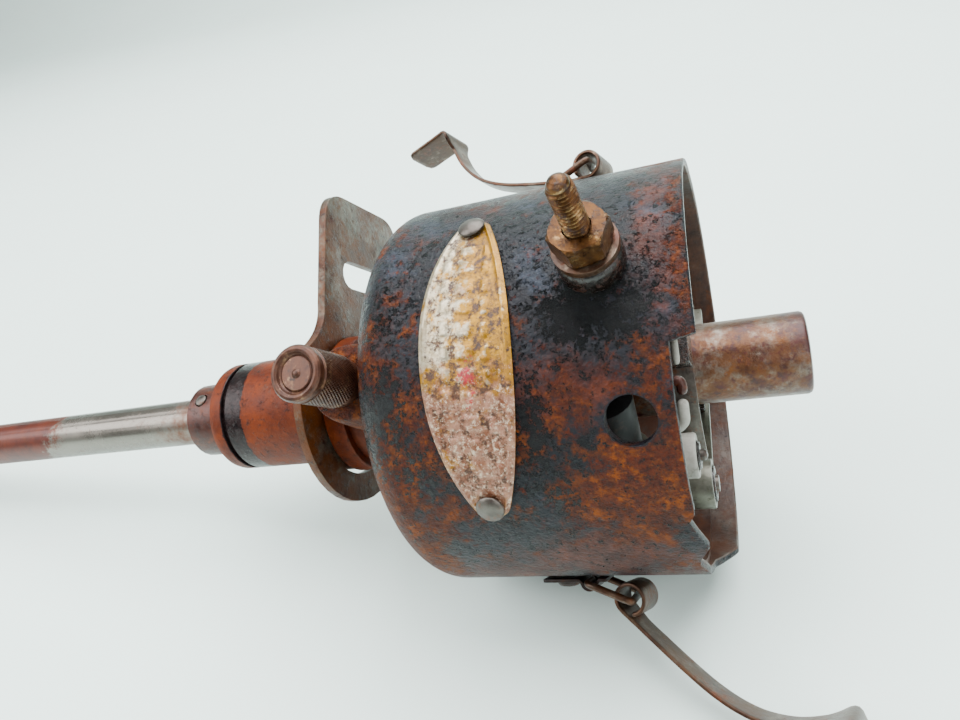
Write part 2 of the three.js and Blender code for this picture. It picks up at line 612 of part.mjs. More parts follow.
/** Wire bail: inner bar in the bracket, two legs, outer bar through the clip's eye. */
function bailWire(knuckle, eye) {
  const half = BAIL_WIDTH / 2;
  const corner = (point, z) => new THREE.Vector3(point.x, point.y, z);
  const [inner, outer] = [knuckle, eye];
  const line = (from, to, share) => from.clone().lerp(to, share);
  const route = [
    corner(inner, -0.5), corner(inner, -half + 1.2), line(corner(inner, -half), corner(outer, -half), 0.12),
    line(corner(inner, -half), corner(outer, -half), 0.88), corner(outer, -half + 1.2),
    corner(outer, half - 1.2), line(corner(inner, half), corner(outer, half), 0.88),
    line(corner(inner, half), corner(outer, half), 0.12), corner(inner, half - 1.2), corner(inner, 0.5),
  ];
  return wire(route, BAIL_WIRE_RADIUS, 24, 0.3);
}

/** Centre of a clip's eye, in the clip's own plane: along the axis, and out from it. */
function clipEye(side) {
  const rise = CLIP_EYE_LIFT[side] - SEAT_GAP - BAIL_WIRE_RADIUS;
  return new THREE.Vector2(Math.sqrt(BAIL_LENGTH ** 2 - rise ** 2) - BRACKET_KNUCKLE_AT,
    BOWL_RADIUS + CLIP_EYE_LIFT[side]);
}

function makeClip(side) {
  const group = stationAt(CLIP_ANGLES[side], 0);
  const knuckle = new THREE.Vector2(-BRACKET_KNUCKLE_AT, BOWL_RADIUS + SEAT_GAP + BAIL_WIRE_RADIUS);
  const eye = clipEye(side);
  const clip = piece(`${side}_clip`, clipStrip(), 'springSteel', group);
  clip.rotation.set(0, rad(CLIP_SKEW[side]), rad(CLIP_OPENING[side]), 'YXZ');
  clip.position.set(eye.x, eye.y, 0);
  piece(`${side}_clip_bail`, bailWire(knuckle, eye), 'springSteel', group);
  piece(`${side}_clip_bracket`, cut(bracketStrip(knuckle, -BRACKET_TAIL_AT),
    post(CLIP_RIVET_RADIUS * 0.6 + BORE_GAP, BOWL_RADIUS - 1, BOWL_RADIUS + 4).translate(-CLIP_RIVET_AT, 0, 0)),
  'rustySteel', group);
  const top = BOWL_RADIUS + 2 * SEAT_GAP + BRACKET_SHEET;
  piece(`${side}_clip_rivet`, upright([[0, BOWL_RADIUS + SEAT_GAP], [CLIP_RIVET_RADIUS * 0.6, BOWL_RADIUS + SEAT_GAP],
    [CLIP_RIVET_RADIUS * 0.6, top], [CLIP_RIVET_RADIUS, top], [CLIP_RIVET_RADIUS * 0.8, top + 0.8],
    [0, top + 1.2]]).translate(-CLIP_RIVET_AT, 0, 0), 'steel', group);
}

// ---------------------------------------------------------------- advance plate
/** Outline of the advance plate: a disc with a wide, straight-ended arm standing out of it. */
function advancePlateShape() {
  const { root, end } = PLATE_ARM_NEAR_SIDE;
  const [far, reach, corner] = [-PLATE_ARM_FAR_SIDE, PLATE_ARM_REACH, PLATE_ARM_CORNER];
  const shape = new THREE.Shape();
  shape.moveTo(end + (root - end) * corner / (reach - PLATE_DISC_RADIUS), reach - corner);
  shape.quadraticCurveTo(end, reach, end - corner, reach);
  shape.lineTo(far + corner, reach);
  shape.quadraticCurveTo(far, reach, far, reach - corner);
  shape.lineTo(-PLATE_DISC_RADIUS, 0);
  shape.absarc(0, 0, PLATE_DISC_RADIUS, Math.PI, 2 * Math.PI + rad(PLATE_ARM_FILLET_ANGLE), false);
  shape.quadraticCurveTo(root, PLATE_DISC_RADIUS * 0.7, root, PLATE_DISC_RADIUS);
  shape.closePath();
  return shape;
}

/** A straight slot with round ends, as a hole for a shape. */
function straightSlot(centreX, centreY, length, width) {
  const reach = (length - width) / 2;
  const points = [...arc(centreX + reach, centreY, width / 2, -90, 90, 7),
    ...arc(centreX - reach, centreY, width / 2, 90, 270, 7)];
  return new THREE.Path(points.map(([x, y]) => new THREE.Vector2(x, y)));
}

const circleHole = (radius, steps = 36) =>
  new THREE.Path(circle(radius, steps).map(([x, y]) => new THREE.Vector2(x, y)));

function makeAdvancePlate() {
  const face = -PLATE_SHOULDER - SEAT_GAP;
  const turn = PLATE_ARM_ANGLE - 90;
  const plate = sheetAcross(advancePlateShape(), face - PLATE_THICK, face, [
    circleHole(SHANK_RADIUS + RUN_GAP),
    straightSlot(-PLATE_SLOT_OFFSET, PLATE_SLOT_REACH, PLATE_SLOT_LENGTH, PLATE_SLOT_WIDTH),
  ]);
  const { from, to, radius } = PLATE_RELIEF;
  const stations = Array.from({ length: 9 }, (_, i) => (
    { angle: from - turn + (to - from) * i / 8, from: -face - 1, to: -face + PLATE_THICK + 1 }));
  const mesh = piece('advance_plate', cut(plate, band(stations, SHANK_RADIUS, radius)), 'rustySteel');
  mesh.rotation.x = -rad(turn);
  const back = face - PLATE_THICK - SEAT_GAP;
  piece('plate_retaining_ring', tube(back - RETAINER_THICK, back, SHANK_RADIUS + SEAT_GAP, RETAINER_RADIUS), 'rustySteel');
}

// ---------------------------------------------------------------- shaft, collar and governor
const GOVERNOR_TOP = -GOVERNOR_AT + GOVERNOR_PLATE_THICK;
const WEIGHT_BOTTOM = GOVERNOR_TOP + SEAT_GAP;
const WEIGHT_TOP = WEIGHT_BOTTOM + WEIGHT_THICK;
const YOKE_BOTTOM = WEIGHT_TOP + SEAT_GAP;
const YOKE_TOP = YOKE_BOTTOM + CAM_YOKE_THICK;

function makeShaft() {
  const tang = -SHAFT_END + TANG_LENGTH;
  const shoulder = YOKE_BOTTOM - SEAT_GAP;
  const bar = turned([[-SHAFT_END, 0], [-SHAFT_END, SHAFT_RADIUS - SHAFT_BEVEL],
    [-SHAFT_END + SHAFT_BEVEL, SHAFT_RADIUS],
    [shoulder, SHAFT_RADIUS], [shoulder, SPIGOT_RADIUS], [STUB_TIP - WICK_LENGTH - 2, SPIGOT_RADIUS],
    [STUB_TIP - WICK_LENGTH - 2, 0]]);
  const flat = (sign) => {
    const z = sign > 0 ? [TANG_THICK / 2, SHAFT_RADIUS + 1] : [-SHAFT_RADIUS - 1, -TANG_THICK / 2];
    return stand(block([-SHAFT_END - 1, -SHAFT_RADIUS - 1, z[0]], [tang, SHAFT_RADIUS + 1, z[1]]), TANG_ANGLE);
  };
  const collarMiddle = -SHANK_END - THRUST_WASHER_THICK - 2 * SEAT_GAP - COLLAR_LENGTH / 2;
  const pinHole = post(COLLAR_PIN_RADIUS + BORE_GAP, -SHAFT_RADIUS - 1, SHAFT_RADIUS + 1, 12);
  piece('drive_shaft', cut(bar, flat(1), flat(-1), stand(pinHole, COLLAR_PIN_ANGLE, collarMiddle)), 'steel');
  return collarMiddle;
}

function makeCollar(middle) {
  const [from, to] = [middle - COLLAR_LENGTH / 2, middle + COLLAR_LENGTH / 2];
  const bore = SHAFT_RADIUS + SEAT_GAP;
  const ring = turned([[from, bore], [from, COLLAR_RADIUS - 1], [from + 1, COLLAR_RADIUS],
    [to, COLLAR_RADIUS], [to, bore]]);
  const hole = post(COLLAR_PIN_RADIUS + BORE_GAP, -COLLAR_RADIUS - 1, COLLAR_RADIUS + 1, 12);
  piece('thrust_collar', cut(ring, stand(hole, COLLAR_PIN_ANGLE, middle)), 'rustySteel');
  const pin = upright([[0, -COLLAR_RADIUS - 0.6], [COLLAR_PIN_RADIUS, -COLLAR_RADIUS - 0.2],
    [COLLAR_PIN_RADIUS, COLLAR_RADIUS + 0.2], [0, COLLAR_RADIUS + 0.6]], 12);
  piece('collar_pin', pin, 'steel', stationAt(COLLAR_PIN_ANGLE, -middle));
  piece('thrust_washer', tube(-SHANK_END - SEAT_GAP - THRUST_WASHER_THICK, -SHANK_END - SEAT_GAP,
    SHAFT_RADIUS + SEAT_GAP, COLLAR_RADIUS - 0.4), 'fibre');
}

/** Clock angles of the weights' middles; pins and spring pegs are set out from them. */
const WEIGHT_MIDDLES = [-45, 135];
const pinPoint = (middle) => polar({ angle: middle + WEIGHT_PIN_OFFSET, radius: WEIGHT_PIN_CIRCLE });
const pegPoint = (middle) => polar(
  { angle: middle + WEIGHT_PIN_OFFSET + SPRING_PEG_OFFSET, radius: SPRING_PEG_CIRCLE });

function makeGovernorPlate() {
  const edge = circle(GOVERNOR_RADIUS, ROUND.bowl);
  const plate = sheetAcross(outlineShape(edge), -GOVERNOR_AT, GOVERNOR_TOP, [circleHole(SHAFT_RADIUS + SEAT_GAP)]);
  const drill = (point, radius) => standing(point, radius, -GOVERNOR_AT - 1, GOVERNOR_TOP + 1);
  const drillings = WEIGHT_MIDDLES.flatMap((middle) => [
    drill(pinPoint(middle), WEIGHT_PIN_RADIUS), drill(pegPoint(middle), SPRING_PEG_RADIUS + SEAT_GAP)]);
  piece('governor_plate', cut(plate, ...drillings), 'steel');
}

/** Kidney-shaped weight between two radii, with its pivot hole near one end. */
function weightShape(middle) {
  const [from, to] = [middle - WEIGHT_HALF_ARC, middle + WEIGHT_HALF_ARC];
  return outlineShape([...arc(0, 0, WEIGHT_OUTER, from, to, 16), ...arc(0, 0, WEIGHT_INNER, to, from, 12)]);
}

/** A coil spring, as a plain cylinder, lying between a weight's pin and its peg. */
function governorSpring(pin, peg, level) {
  const along = peg.clone().sub(pin);
  const ends = [pin.clone().addScaledVector(along.clone().normalize(), WEIGHT_PIN_RADIUS),
    peg.clone().addScaledVector(along.clone().normalize(), -SPRING_PEG_RADIUS - SEAT_GAP)];
  const coil = new THREE.CylinderGeometry(GOVERNOR_SPRING_RADIUS, GOVERNOR_SPRING_RADIUS,
    ends[0].distanceTo(ends[1]), ROUND.small);
  const centre = ends[0].clone().add(ends[1]).multiplyScalar(0.5);
  return coil.rotateX(Math.PI - along.angle()).translate(level, -centre.x, centre.y);
}

function makeWeights() {
  const level = YOKE_TOP + SEAT_GAP + GOVERNOR_SPRING_RADIUS;
  WEIGHT_MIDDLES.forEach((middle, i) => {
    const [pin, peg] = [pinPoint(middle), pegPoint(middle)];
    const weight = sheetAcross(weightShape(middle), WEIGHT_BOTTOM, WEIGHT_TOP);
    const bore = standing(pin, WEIGHT_PIN_RADIUS + RUN_GAP, WEIGHT_BOTTOM - 1, WEIGHT_TOP + 1);
    piece(`governor_weight_${i + 1}`, cut(weight, bore), 'steel');
    const pinBody = standing(pin, WEIGHT_PIN_RADIUS - SEAT_GAP, -GOVERNOR_AT, level + 1);
    piece(`weight_pin_${i + 1}`, pinBody, 'steel');
    piece(`spring_peg_${i + 1}`, standing(peg, SPRING_PEG_RADIUS, -GOVERNOR_AT, level + 1), 'steel');
    piece(`governor_spring_${i + 1}`, governorSpring(pin, peg, level), 'springSteel');
  });
}

// ---------------------------------------------------------------- cam sleeve
/** Cam outline: a circle that rises and falls once for each lobe. */
function camShape() {
  const steps = CAM_LOBES * 8;
  return outlineShape(Array.from({ length: steps }, (_, i) => {
    const a = 2 * Math.PI * i / steps;
    const radius = CAM_PEAK_RADIUS - CAM_LIFT * (1 - Math.cos(CAM_LOBES * a)) / 2;
    return [radius * Math.cos(a), radius * Math.sin(a)];
  }));
}

function makeCam() {
  const bore = SPIGOT_RADIUS + RUN_GAP;
  const edge = STUB_TIP - STUB_EDGE;
  const sleeve = turned([[YOKE_BOTTOM, bore], [YOKE_BOTTOM, CAM_YOKE_RADIUS], [YOKE_TOP, CAM_YOKE_RADIUS],
    [YOKE_TOP, STUB_RADIUS], [edge, STUB_RADIUS], [STUB_TIP - STUB_EDGE * 0.3, STUB_RADIUS - STUB_EDGE * 0.3],
    [STUB_TIP, STUB_RADIUS - STUB_EDGE], [STUB_TIP, bore]]);
  const lobes = sheetAcross(camShape(), -CAM_BOTTOM, -CAM_TOP, [circleHole(STUB_RADIUS - 1)]);
  const slot = block([STUB_TIP - ROTOR_SLOT_LENGTH, STUB_RADIUS - ROTOR_SLOT_DEPTH, -ROTOR_SLOT_WIDTH / 2],
    [STUB_TIP + 1, STUB_RADIUS + 1, ROTOR_SLOT_WIDTH / 2]);
  piece('cam_sleeve', cut(join(sleeve, lobes), slot), 'steel');
  piece('oil_wick', rod(STUB_TIP - WICK_LENGTH - 0.8, STUB_TIP - 0.8, bore - SEAT_GAP, ROUND.small), 'felt');
}

// ---------------------------------------------------------------- breaker plate and contacts
const PLATE_TOP = -BREAKER_PLATE_AT;
const PLATE_UNDER = PLATE_TOP - BREAKER_PLATE_THICK;
/** A piece drawn as a shape seen along the axis, between two places on it. */
const upstand = (points, from, to) => sheetAcross(outlineShape(points), from, to);

/** Corners of a bar between two points, seen along the axis. */
function bar(from, to, width) {
  const side = to.clone().sub(from).normalize().multiplyScalar(width / 2);
  const normal = new THREE.Vector2(-side.y, side.x);
  return [[from.x - normal.x, from.y - normal.y], [to.x - normal.x, to.y - normal.y],
    [to.x + normal.x, to.y + normal.y], [from.x + normal.x, from.y + normal.y]];
}

/** A screw standing on a face: shank below, slotted head above. */
function plateScrew(point, face, depth) {
  const head = turned([[face, 0], [face, SCREW_HEAD_RADIUS], [face + SCREW_HEAD_THICK * 0.6, SCREW_HEAD_RADIUS],
    [face + SCREW_HEAD_THICK, SCREW_HEAD_RADIUS * 0.6], [face + SCREW_HEAD_THICK, 0]], ROUND.small);
  const slot = block([face + SCREW_HEAD_THICK - 0.8, -SCREW_HEAD_RADIUS - 1, -0.4],
    [face + SCREW_HEAD_THICK + 1, SCREW_HEAD_RADIUS + 1, 0.4]);
  const shank = rod(face - depth, face + 0.5, SCREW_RADIUS, ROUND.small);
  return cut(join(head, shank), slot).translate(0, -point.x, point.y);
}

const pivotPoint = polar(PIVOT);
const contactPoint = polar(CONTACT);
const alongArm = contactPoint.clone().sub(pivotPoint).normalize();
/** The point of the arm's line nearest the shaft, where the rubbing block stands. */
const armFoot = pivotPoint.clone().addScaledVector(alongArm, -pivotPoint.dot(alongArm));
const fixedContactScrew = contactPoint.clone().addScaledVector(alongArm, 6);
const condenserScrew = polar({ angle: CONDENSER.angle, radius: CONDENSER.radius - CONDENSER_SCREW_IN })
  .add(polar({ angle: CONDENSER.angle - 90, radius: STRAP_AT }));

function makeBreakerPlate() {
  const disc = rod(PLATE_UNDER, PLATE_TOP, BOWL_INNER - SEAT_GAP, ROUND.bowl);
  const drill = (point, radius) => standing(point, radius, PLATE_UNDER - 1, PLATE_TOP + 1);
  const lugPoints = LUG_ANGLES.map((angle) => polar({ angle, radius: LUG_SCREW_CIRCLE }));
  const holes = [...lugPoints, fixedContactScrew, condenserScrew].map((point) => drill(point, SCREW_RADIUS + BORE_GAP));
  const { from, to, inner, outer } = PLATE_WINDOW;
  const window = upstand([...arc(0, 0, outer, from, to, 10), ...arc(0, 0, inner, to, from, 10)],
    PLATE_UNDER - 1, PLATE_TOP + 1);
  piece('breaker_plate', cut(disc, window, drill(new THREE.Vector2(), BREAKER_PLATE_HOLE),
    drill(pivotPoint, PIVOT_RADIUS), ...holes), 'steel');
  lugPoints.forEach((point, i) => {
    piece(`breaker_plate_screw_${i + 1}`, plateScrew(point, PLATE_TOP + SEAT_GAP, BREAKER_PLATE_THICK + 5), 'steel');
  });
}

function makeBreakerArm() {
  const top = -ARM_LEVEL;
  const bottom = top - ARM_WIDTH;
  const hub = PIVOT_BUSH_RADIUS + SEAT_GAP;
  const tip = contactPoint.clone().addScaledVector(alongArm, 3);
  const heel = pivotPoint.clone().addScaledVector(alongArm, hub);
  const ring = tube(bottom, top, hub, hub + ARM_SHEET, 24).translate(0, -pivotPoint.x, pivotPoint.y);
  piece('breaker_arm', join(ring, upstand(bar(heel, tip, ARM_SHEET), bottom, top)), 'plated');
  piece('breaker_arm_bush', tube(bottom - 1.5, top + 0.4, PIVOT_RADIUS + RUN_GAP, PIVOT_BUSH_RADIUS, 24)
    .translate(0, -pivotPoint.x, pivotPoint.y), 'fibre');
  piece('breaker_pivot_post', standing(pivotPoint, PIVOT_RADIUS - SEAT_GAP, PLATE_UNDER, top + 1.0), 'steel');
  const armFace = armFoot.length() - ARM_SHEET / 2 - SEAT_GAP;
  const blockFrom = armFoot.clone().setLength(CAM_PEAK_RADIUS + RUN_GAP);
  const blockTo = armFoot.clone().setLength(armFace);
  piece('rubbing_block', upstand(bar(blockFrom, blockTo, 5), -CAM_BOTTOM + 3, top - 0.8), 'fibre');
  return { top, bottom };
}

/** A contact disc facing along a direction, its back on a point. */
function contactDisc(point, direction, level) {
  const disc = new THREE.CylinderGeometry(CONTACT_RADIUS, CONTACT_RADIUS, CONTACT_THICK, 16);
  const angle = THREE.MathUtils.radToDeg(Math.atan2(direction.y, direction.x));
  const middle = point.clone().addScaledVector(direction, CONTACT_THICK / 2);
  return disc.rotateX(Math.PI - rad(angle)).translate(level, -middle.x, middle.y);
}

function makeContacts({ top, bottom }) {
  const level = (top + bottom) / 2;
  const inward = armFoot.clone().normalize().negate();
  const armFace = contactPoint.clone().addScaledVector(inward, ARM_SHEET / 2 + SEAT_GAP);
  piece('moving_contact', contactDisc(armFace, inward, level), 'steel');
  const fixedFace = armFace.clone().addScaledVector(inward, 2 * CONTACT_THICK + SEAT_GAP);
  piece('fixed_contact', contactDisc(fixedFace, inward.clone().negate(), level), 'steel');
  const wall = fixedFace.clone().addScaledVector(inward, SEAT_GAP + 0.8);
  const wallEnds = [wall.clone().addScaledVector(alongArm, -3.2), wall.clone().addScaledVector(alongArm, 3.4)];
  const base = PLATE_TOP + SEAT_GAP;
  const foot = [wall, fixedContactScrew.clone().addScaledVector(alongArm, 4)];
  const bracket = join(upstand(bar(...wallEnds, 1.6), base, top), upstand(bar(...foot, 8), base, base + 1.5));
  piece('contact_bracket', cut(bracket, standing(fixedContactScrew, SCREW_RADIUS + BORE_GAP, base - 1, base + 3)), 'plated');
  piece('contact_lock_screw', plateScrew(fixedContactScrew, base + 1.5 + SEAT_GAP, 5), 'steel');
}

function makeSpringAndPost({ top, bottom }) {
  const from = PIVOT.angle + 22;
  const to = SPRING_POST_ANGLE + 8;
  const stations = Array.from({ length: 13 }, (_, i) => ({
    angle: from + (to - from) * i / 12, from: -top, to: -bottom }));
  piece('breaker_spring', band(stations, SPRING_ARC_RADIUS, SPRING_ARC_RADIUS + SPRING_SHEET), 'springSteel');
  const base = PLATE_TOP + SEAT_GAP;
  const inner = polar({ angle: SPRING_POST_ANGLE, radius: SPRING_ARC_RADIUS + SPRING_SHEET + SEAT_GAP });
  const outer = polar({ angle: SPRING_POST_ANGLE, radius: SPRING_ARC_RADIUS + 7.5 });
  piece('spring_post', upstand(bar(inner, outer, 7), base, top), 'fibre');
}

const CONDENSER_LEVEL = PLATE_TOP + CONDENSER_RADIUS + CONDENSER_LIFT;

/** Strap round the condenser, with a foot that is screwed to the breaker plate. */
function condenserStrap() {
  const ring = CONDENSER_RADIUS + SEAT_GAP + STRAP_SHEET / 2;
  const foot = -CONDENSER_RADIUS - CONDENSER_LIFT + SEAT_GAP + STRAP_SHEET / 2;
  const line = [[foot, -CONDENSER_SCREW_IN - 4], [foot, -3], ...arc(0, 0, ring, 180, -125, 20)];
  const hole = rod(foot - 2, foot + 2, SCREW_RADIUS + BORE_GAP, ROUND.small).translate(0, -CONDENSER_SCREW_IN, 0);
  return cut(strip(line, STRAP_SHEET, STRAP_WIDTH), hole).translate(0, 0, STRAP_AT);
}

function makeCondenser() {
  const can = new THREE.CylinderGeometry(CONDENSER_RADIUS, CONDENSER_RADIUS, CONDENSER_LENGTH, 28);
  const place = (geometry) => stand(geometry.translate(0, CONDENSER.radius, 0), CONDENSER.angle, CONDENSER_LEVEL);
  piece('condenser', place(can.rotateX(Math.PI / 2)), 'plated');
  piece('condenser_strap', place(condenserStrap()), 'plated');
  const face = PLATE_TOP + 2 * SEAT_GAP + STRAP_SHEET;
  piece('condenser_screw', plateScrew(condenserScrew, face, BREAKER_PLATE_THICK + 3), 'steel');
}

/** A lead held along its whole route inside the bowl. */
function makeLeads(studFoot, { top }) {
  const start = at(-STUD_AT, studFoot - LEAD_RADIUS - 2 * SEAT_GAP, STUD_ANGLE);
  const end = at(top - 4, SPRING_ARC_RADIUS + 8 + LEAD_RADIUS, SPRING_POST_ANGLE);
  const middle = at((start.x + end.x) / 2 + 1, SPRING_ARC_RADIUS + 11.5, (STUD_ANGLE + SPRING_POST_ANGLE) / 2);
  piece('primary_lead', wire([start, middle, end], LEAD_RADIUS, 14), 'rubber');
  const canEnd = polar(CONDENSER).add(
    polar({ angle: CONDENSER.angle + 90, radius: CONDENSER_LENGTH / 2 + LEAD_RADIUS }));
  const joint = at(top - 9, SPRING_ARC_RADIUS + 8 + LEAD_RADIUS, SPRING_POST_ANGLE - 3);
  const bend = at(CONDENSER_LEVEL + 3, canEnd.length() + 1.5, SPRING_POST_ANGLE - 12);
  const canLead = [new THREE.Vector3(CONDENSER_LEVEL, -canEnd.x, canEnd.y), bend, joint];
  piece('condenser_lead', wire(canLead, LEAD_RADIUS, 12), 'rubber');
}

// ---------------------------------------------------------------- assembly
makeHousing();
makeBushings();
makeNameplate();
makeGreaseCup();
const studFoot = makeTerminal();
makeClip('upper');
makeClip('lower');
makeAdvancePlate();
makeCollar(makeShaft());
makeGovernorPlate();
makeWeights();
makeCam();
makeBreakerPlate();
const arm = makeBreakerArm();
makeContacts(arm);
makeSpringAndPost(arm);
makeCondenser();
makeLeads(studFoot, arm);

// ---------------------------------------------------------------- laying it down
const lying = new THREE.Group();
lying.add(distributor);
const part = new THREE.Group();
part.add(lying);

/** How far the shaft leans when its free end and the bowl's shoulder both rest on the floor. */
function shaftTilt() {
  const run = SHAFT_END - SHAFT_BEVEL - BOWL_DEPTH + SHOULDER_RADIUS;
  const rise = BOWL_RADIUS - SHOULDER_RADIUS - SHAFT_RADIUS;
  return Math.atan2(rise, run) + Math.asin(SHOULDER_RADIUS / Math.hypot(run, rise));
}

/** The clock angle that faces down once the open lower clip reaches the floor as well. */
function downwardAngle(clip, tilt) {
  const axisHeight = (SHAFT_END - SHAFT_BEVEL) * Math.sin(tilt) + SHAFT_RADIUS * Math.cos(tilt);
  const { position } = clip.geometry.attributes;
  const corner = new THREE.Vector3();
  let down = Infinity;
  for (let i = 0; i < position.count; i += 1) {
    corner.fromBufferAttribute(position, i).applyMatrix4(clip.matrixWorld);
    const drop = (axisHeight + corner.x * Math.sin(tilt)) / Math.cos(tilt);
    const radius = Math.hypot(corner.y, corner.z);
    if (radius > drop) down = Math.min(down, Math.atan2(corner.z, -corner.y) - Math.acos(drop / radius));
  }
  return down;
}

/** Leans the shaft down and rolls the distributor until it rests on its open lower clip. */
function layDown() {
  part.updateMatrixWorld(true);
  const tilt = shaftTilt();
  distributor.rotation.x = downwardAngle(distributor.getObjectByName('lower_clip'), tilt) + Math.PI / 2;
  lying.rotation.y = -tilt;
}

layDown();
part.updateMatrixWorld(true);
const bounds = new THREE.Box3().setFromObject(part, true);
const middle = bounds.getCenter(new THREE.Vector3());
lying.position.set(-middle.x, -middle.y, -bounds.min.z);

export default part;
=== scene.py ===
"""Looks for an old ignition distributor that lies on its side without its cap and rotor.

Places on the distributor are given as in a workshop: along the shaft from the rim of the bowl
(mm, positive out of the mouth), out from the shaft (mm), and a clock angle round it (degrees).
"""

import json

import bmesh
import bpy
import numpy as np
from mathutils import Euler, Matrix, Vector
from bpy.props import FloatProperty, FloatVectorProperty, IntProperty, PointerProperty, StringProperty


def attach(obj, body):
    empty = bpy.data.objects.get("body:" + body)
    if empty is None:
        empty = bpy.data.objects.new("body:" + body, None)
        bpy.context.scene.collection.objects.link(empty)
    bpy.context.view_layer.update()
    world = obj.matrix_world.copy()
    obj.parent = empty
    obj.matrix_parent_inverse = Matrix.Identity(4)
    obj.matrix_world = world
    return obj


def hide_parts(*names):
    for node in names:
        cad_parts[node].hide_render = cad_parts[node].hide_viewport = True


bl_info = {
    "name": "Ignition distributor finishes",
    "version": (1, 0, 0),
    "blender": (4, 5, 0),
    "location": "View3D > Sidebar > Distributor",
    "description": "Builds the worn surfaces of an ignition distributor over its fixed frame",
    "category": "Object",
}

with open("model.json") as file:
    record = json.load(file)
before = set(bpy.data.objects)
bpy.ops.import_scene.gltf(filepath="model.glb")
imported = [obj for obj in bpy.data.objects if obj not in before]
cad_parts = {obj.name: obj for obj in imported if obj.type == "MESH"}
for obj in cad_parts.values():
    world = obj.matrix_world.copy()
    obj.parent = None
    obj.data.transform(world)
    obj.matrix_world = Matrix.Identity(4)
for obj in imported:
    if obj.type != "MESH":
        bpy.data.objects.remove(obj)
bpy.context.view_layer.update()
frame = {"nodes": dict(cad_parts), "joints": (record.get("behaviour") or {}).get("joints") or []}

MM = 0.001

# ---------------------------------------------------------------- places on the distributor
JOINTS = {joint["name"]: joint for joint in frame["joints"]}
SHAFT_AXIS = np.array(JOINTS["shaft_spin"]["axis"])
SHAFT_AXIS = SHAFT_AXIS / np.linalg.norm(SHAFT_AXIS)
RIM_CENTRE = np.array(JOINTS["shaft_spin"]["pos_m"])
PIVOT_CLOCK = -75.0      # clock angle of the breaker arm's pivot, which fixes the zero of the clock
_PIVOT = np.array(JOINTS["breaker_arm_swing"]["pos_m"]) - RIM_CENTRE
_RADIAL = _PIVOT - SHAFT_AXIS * (_PIVOT @ SHAFT_AXIS)
_RADIAL = _RADIAL / np.linalg.norm(_RADIAL)
_ONWARD = np.cross(_RADIAL, SHAFT_AXIS)


def outward(clock):
    """Unit vectors out from the shaft: cos(c) radial + sin(c) onward, c counted from the pivot."""
    turn = np.radians(np.asarray(clock, float) - PIVOT_CLOCK)[..., None]
    return np.cos(turn) * _RADIAL + np.sin(turn) * _ONWARD


def at(along, out, clock):
    """Points in metres: rim centre + along x axis + out x outward(clock), for arrays of mm and degrees."""
    along, out, clock = np.broadcast_arrays(*(np.asarray(v, float) for v in (along, out, clock)))
    return RIM_CENTRE + (along[..., None] * SHAFT_AXIS + out[..., None] * outward(clock)) * MM


def fitting(along, clock):
    """Origin and three axes of a fitting that stands out of the bowl: along, outward, sideways."""
    up = outward(clock)
    return at(along, 0.0, clock), SHAFT_AXIS, up, np.cross(SHAFT_AXIS, up)


# ---------------------------------------------------------------- numbers and small helpers
def linear(text):
    """An sRGB hex colour as linear red, green, blue and alpha."""
    values = [int(text.lstrip("#")[i:i + 2], 16) / 255 for i in (0, 2, 4)]
    return [v / 12.92 if v <= 0.04045 else ((v + 0.055) / 1.055) ** 2.4 for v in values] + [1.0]


def ripple(u, v, seed, octaves=5):
    """Smooth unevenness in -1..1: a sum of sines in slanted directions, each octave finer and weaker.

    u is a full circle in radians, so every whole-number frequency in u closes on itself.
    """
    rng = np.random.default_rng(seed)
    total = np.zeros(np.broadcast(u, v).shape)
    scale = 0.0
    for octave in range(octaves):
        for _ in range(4):
            turns = rng.integers(1, 3 * 2 ** octave + 2) * rng.choice([-1, 1])
            lengthways = rng.uniform(-1.0, 1.0) * 2 ** octave
            total = total + 0.6 ** octave * np.sin(turns * u + lengthways * v + rng.uniform(0, 6.28))
        scale += 0.6 ** octave * 2.2
    return np.clip(total / scale, -1, 1)


def smooth_line(points, count):
    """Catmull-Rom curve through points, sampled evenly by length: cubic blends of four neighbours."""
    points = np.asarray(points, float)
    padded = np.vstack([2 * points[0] - points[1], points, 2 * points[-1] - points[-2]])
    t = np.linspace(0, len(points) - 1, 24 * len(points))
    i = np.minimum(t.astype(int), len(points) - 2)
    f = (t - i)[:, None]
    a, b, c, d = (padded[i + k] for k in range(4))
    curve = 0.5 * (2 * b + (c - a) * f + (2 * a - 5 * b + 4 * c - d) * f ** 2
                   + (3 * b - a - 3 * c + d) * f ** 3)
    steps = np.r_[0, np.cumsum(np.linalg.norm(np.diff(curve, axis=0), axis=1))]
    even = np.linspace(0, steps[-1], count)
    return np.stack([np.interp(even, steps, curve[:, k]) for k in range(curve.shape[1])], axis=1)


def stepped(points, spacing):
    """A polyline cut into steps of at most `spacing`, keeping its corners."""
    points = np.asarray(points, float)
    parts = []
    for a, b in zip(points[:-1], points[1:]):
        n = max(1, int(np.ceil(np.linalg.norm(b - a) / spacing)))
        parts.append(a + (b - a) * np.arange(n)[:, None] / n)
    return np.vstack(parts + [points[-1:]])


# ---------------------------------------------------------------- meshes
def keep(name, mesh, body, material, replaces=(), sharp=35.0):
    """Links a finished mesh as a piece at the origin, riding on a body."""
    piece = bpy.data.objects.new(name, mesh)
    bpy.context.scene.collection.objects.link(piece)
    materials = material if isinstance(material, (list, tuple)) else [material]
    if not mesh.materials:
        for m in materials:
            mesh.materials.append(m)
    mesh.shade_smooth()
    mesh.set_sharp_from_angle(angle=np.radians(sharp))
    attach(piece, body)
    if replaces:
        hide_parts(*([replaces] if isinstance(replaces, str) else replaces))
    return piece


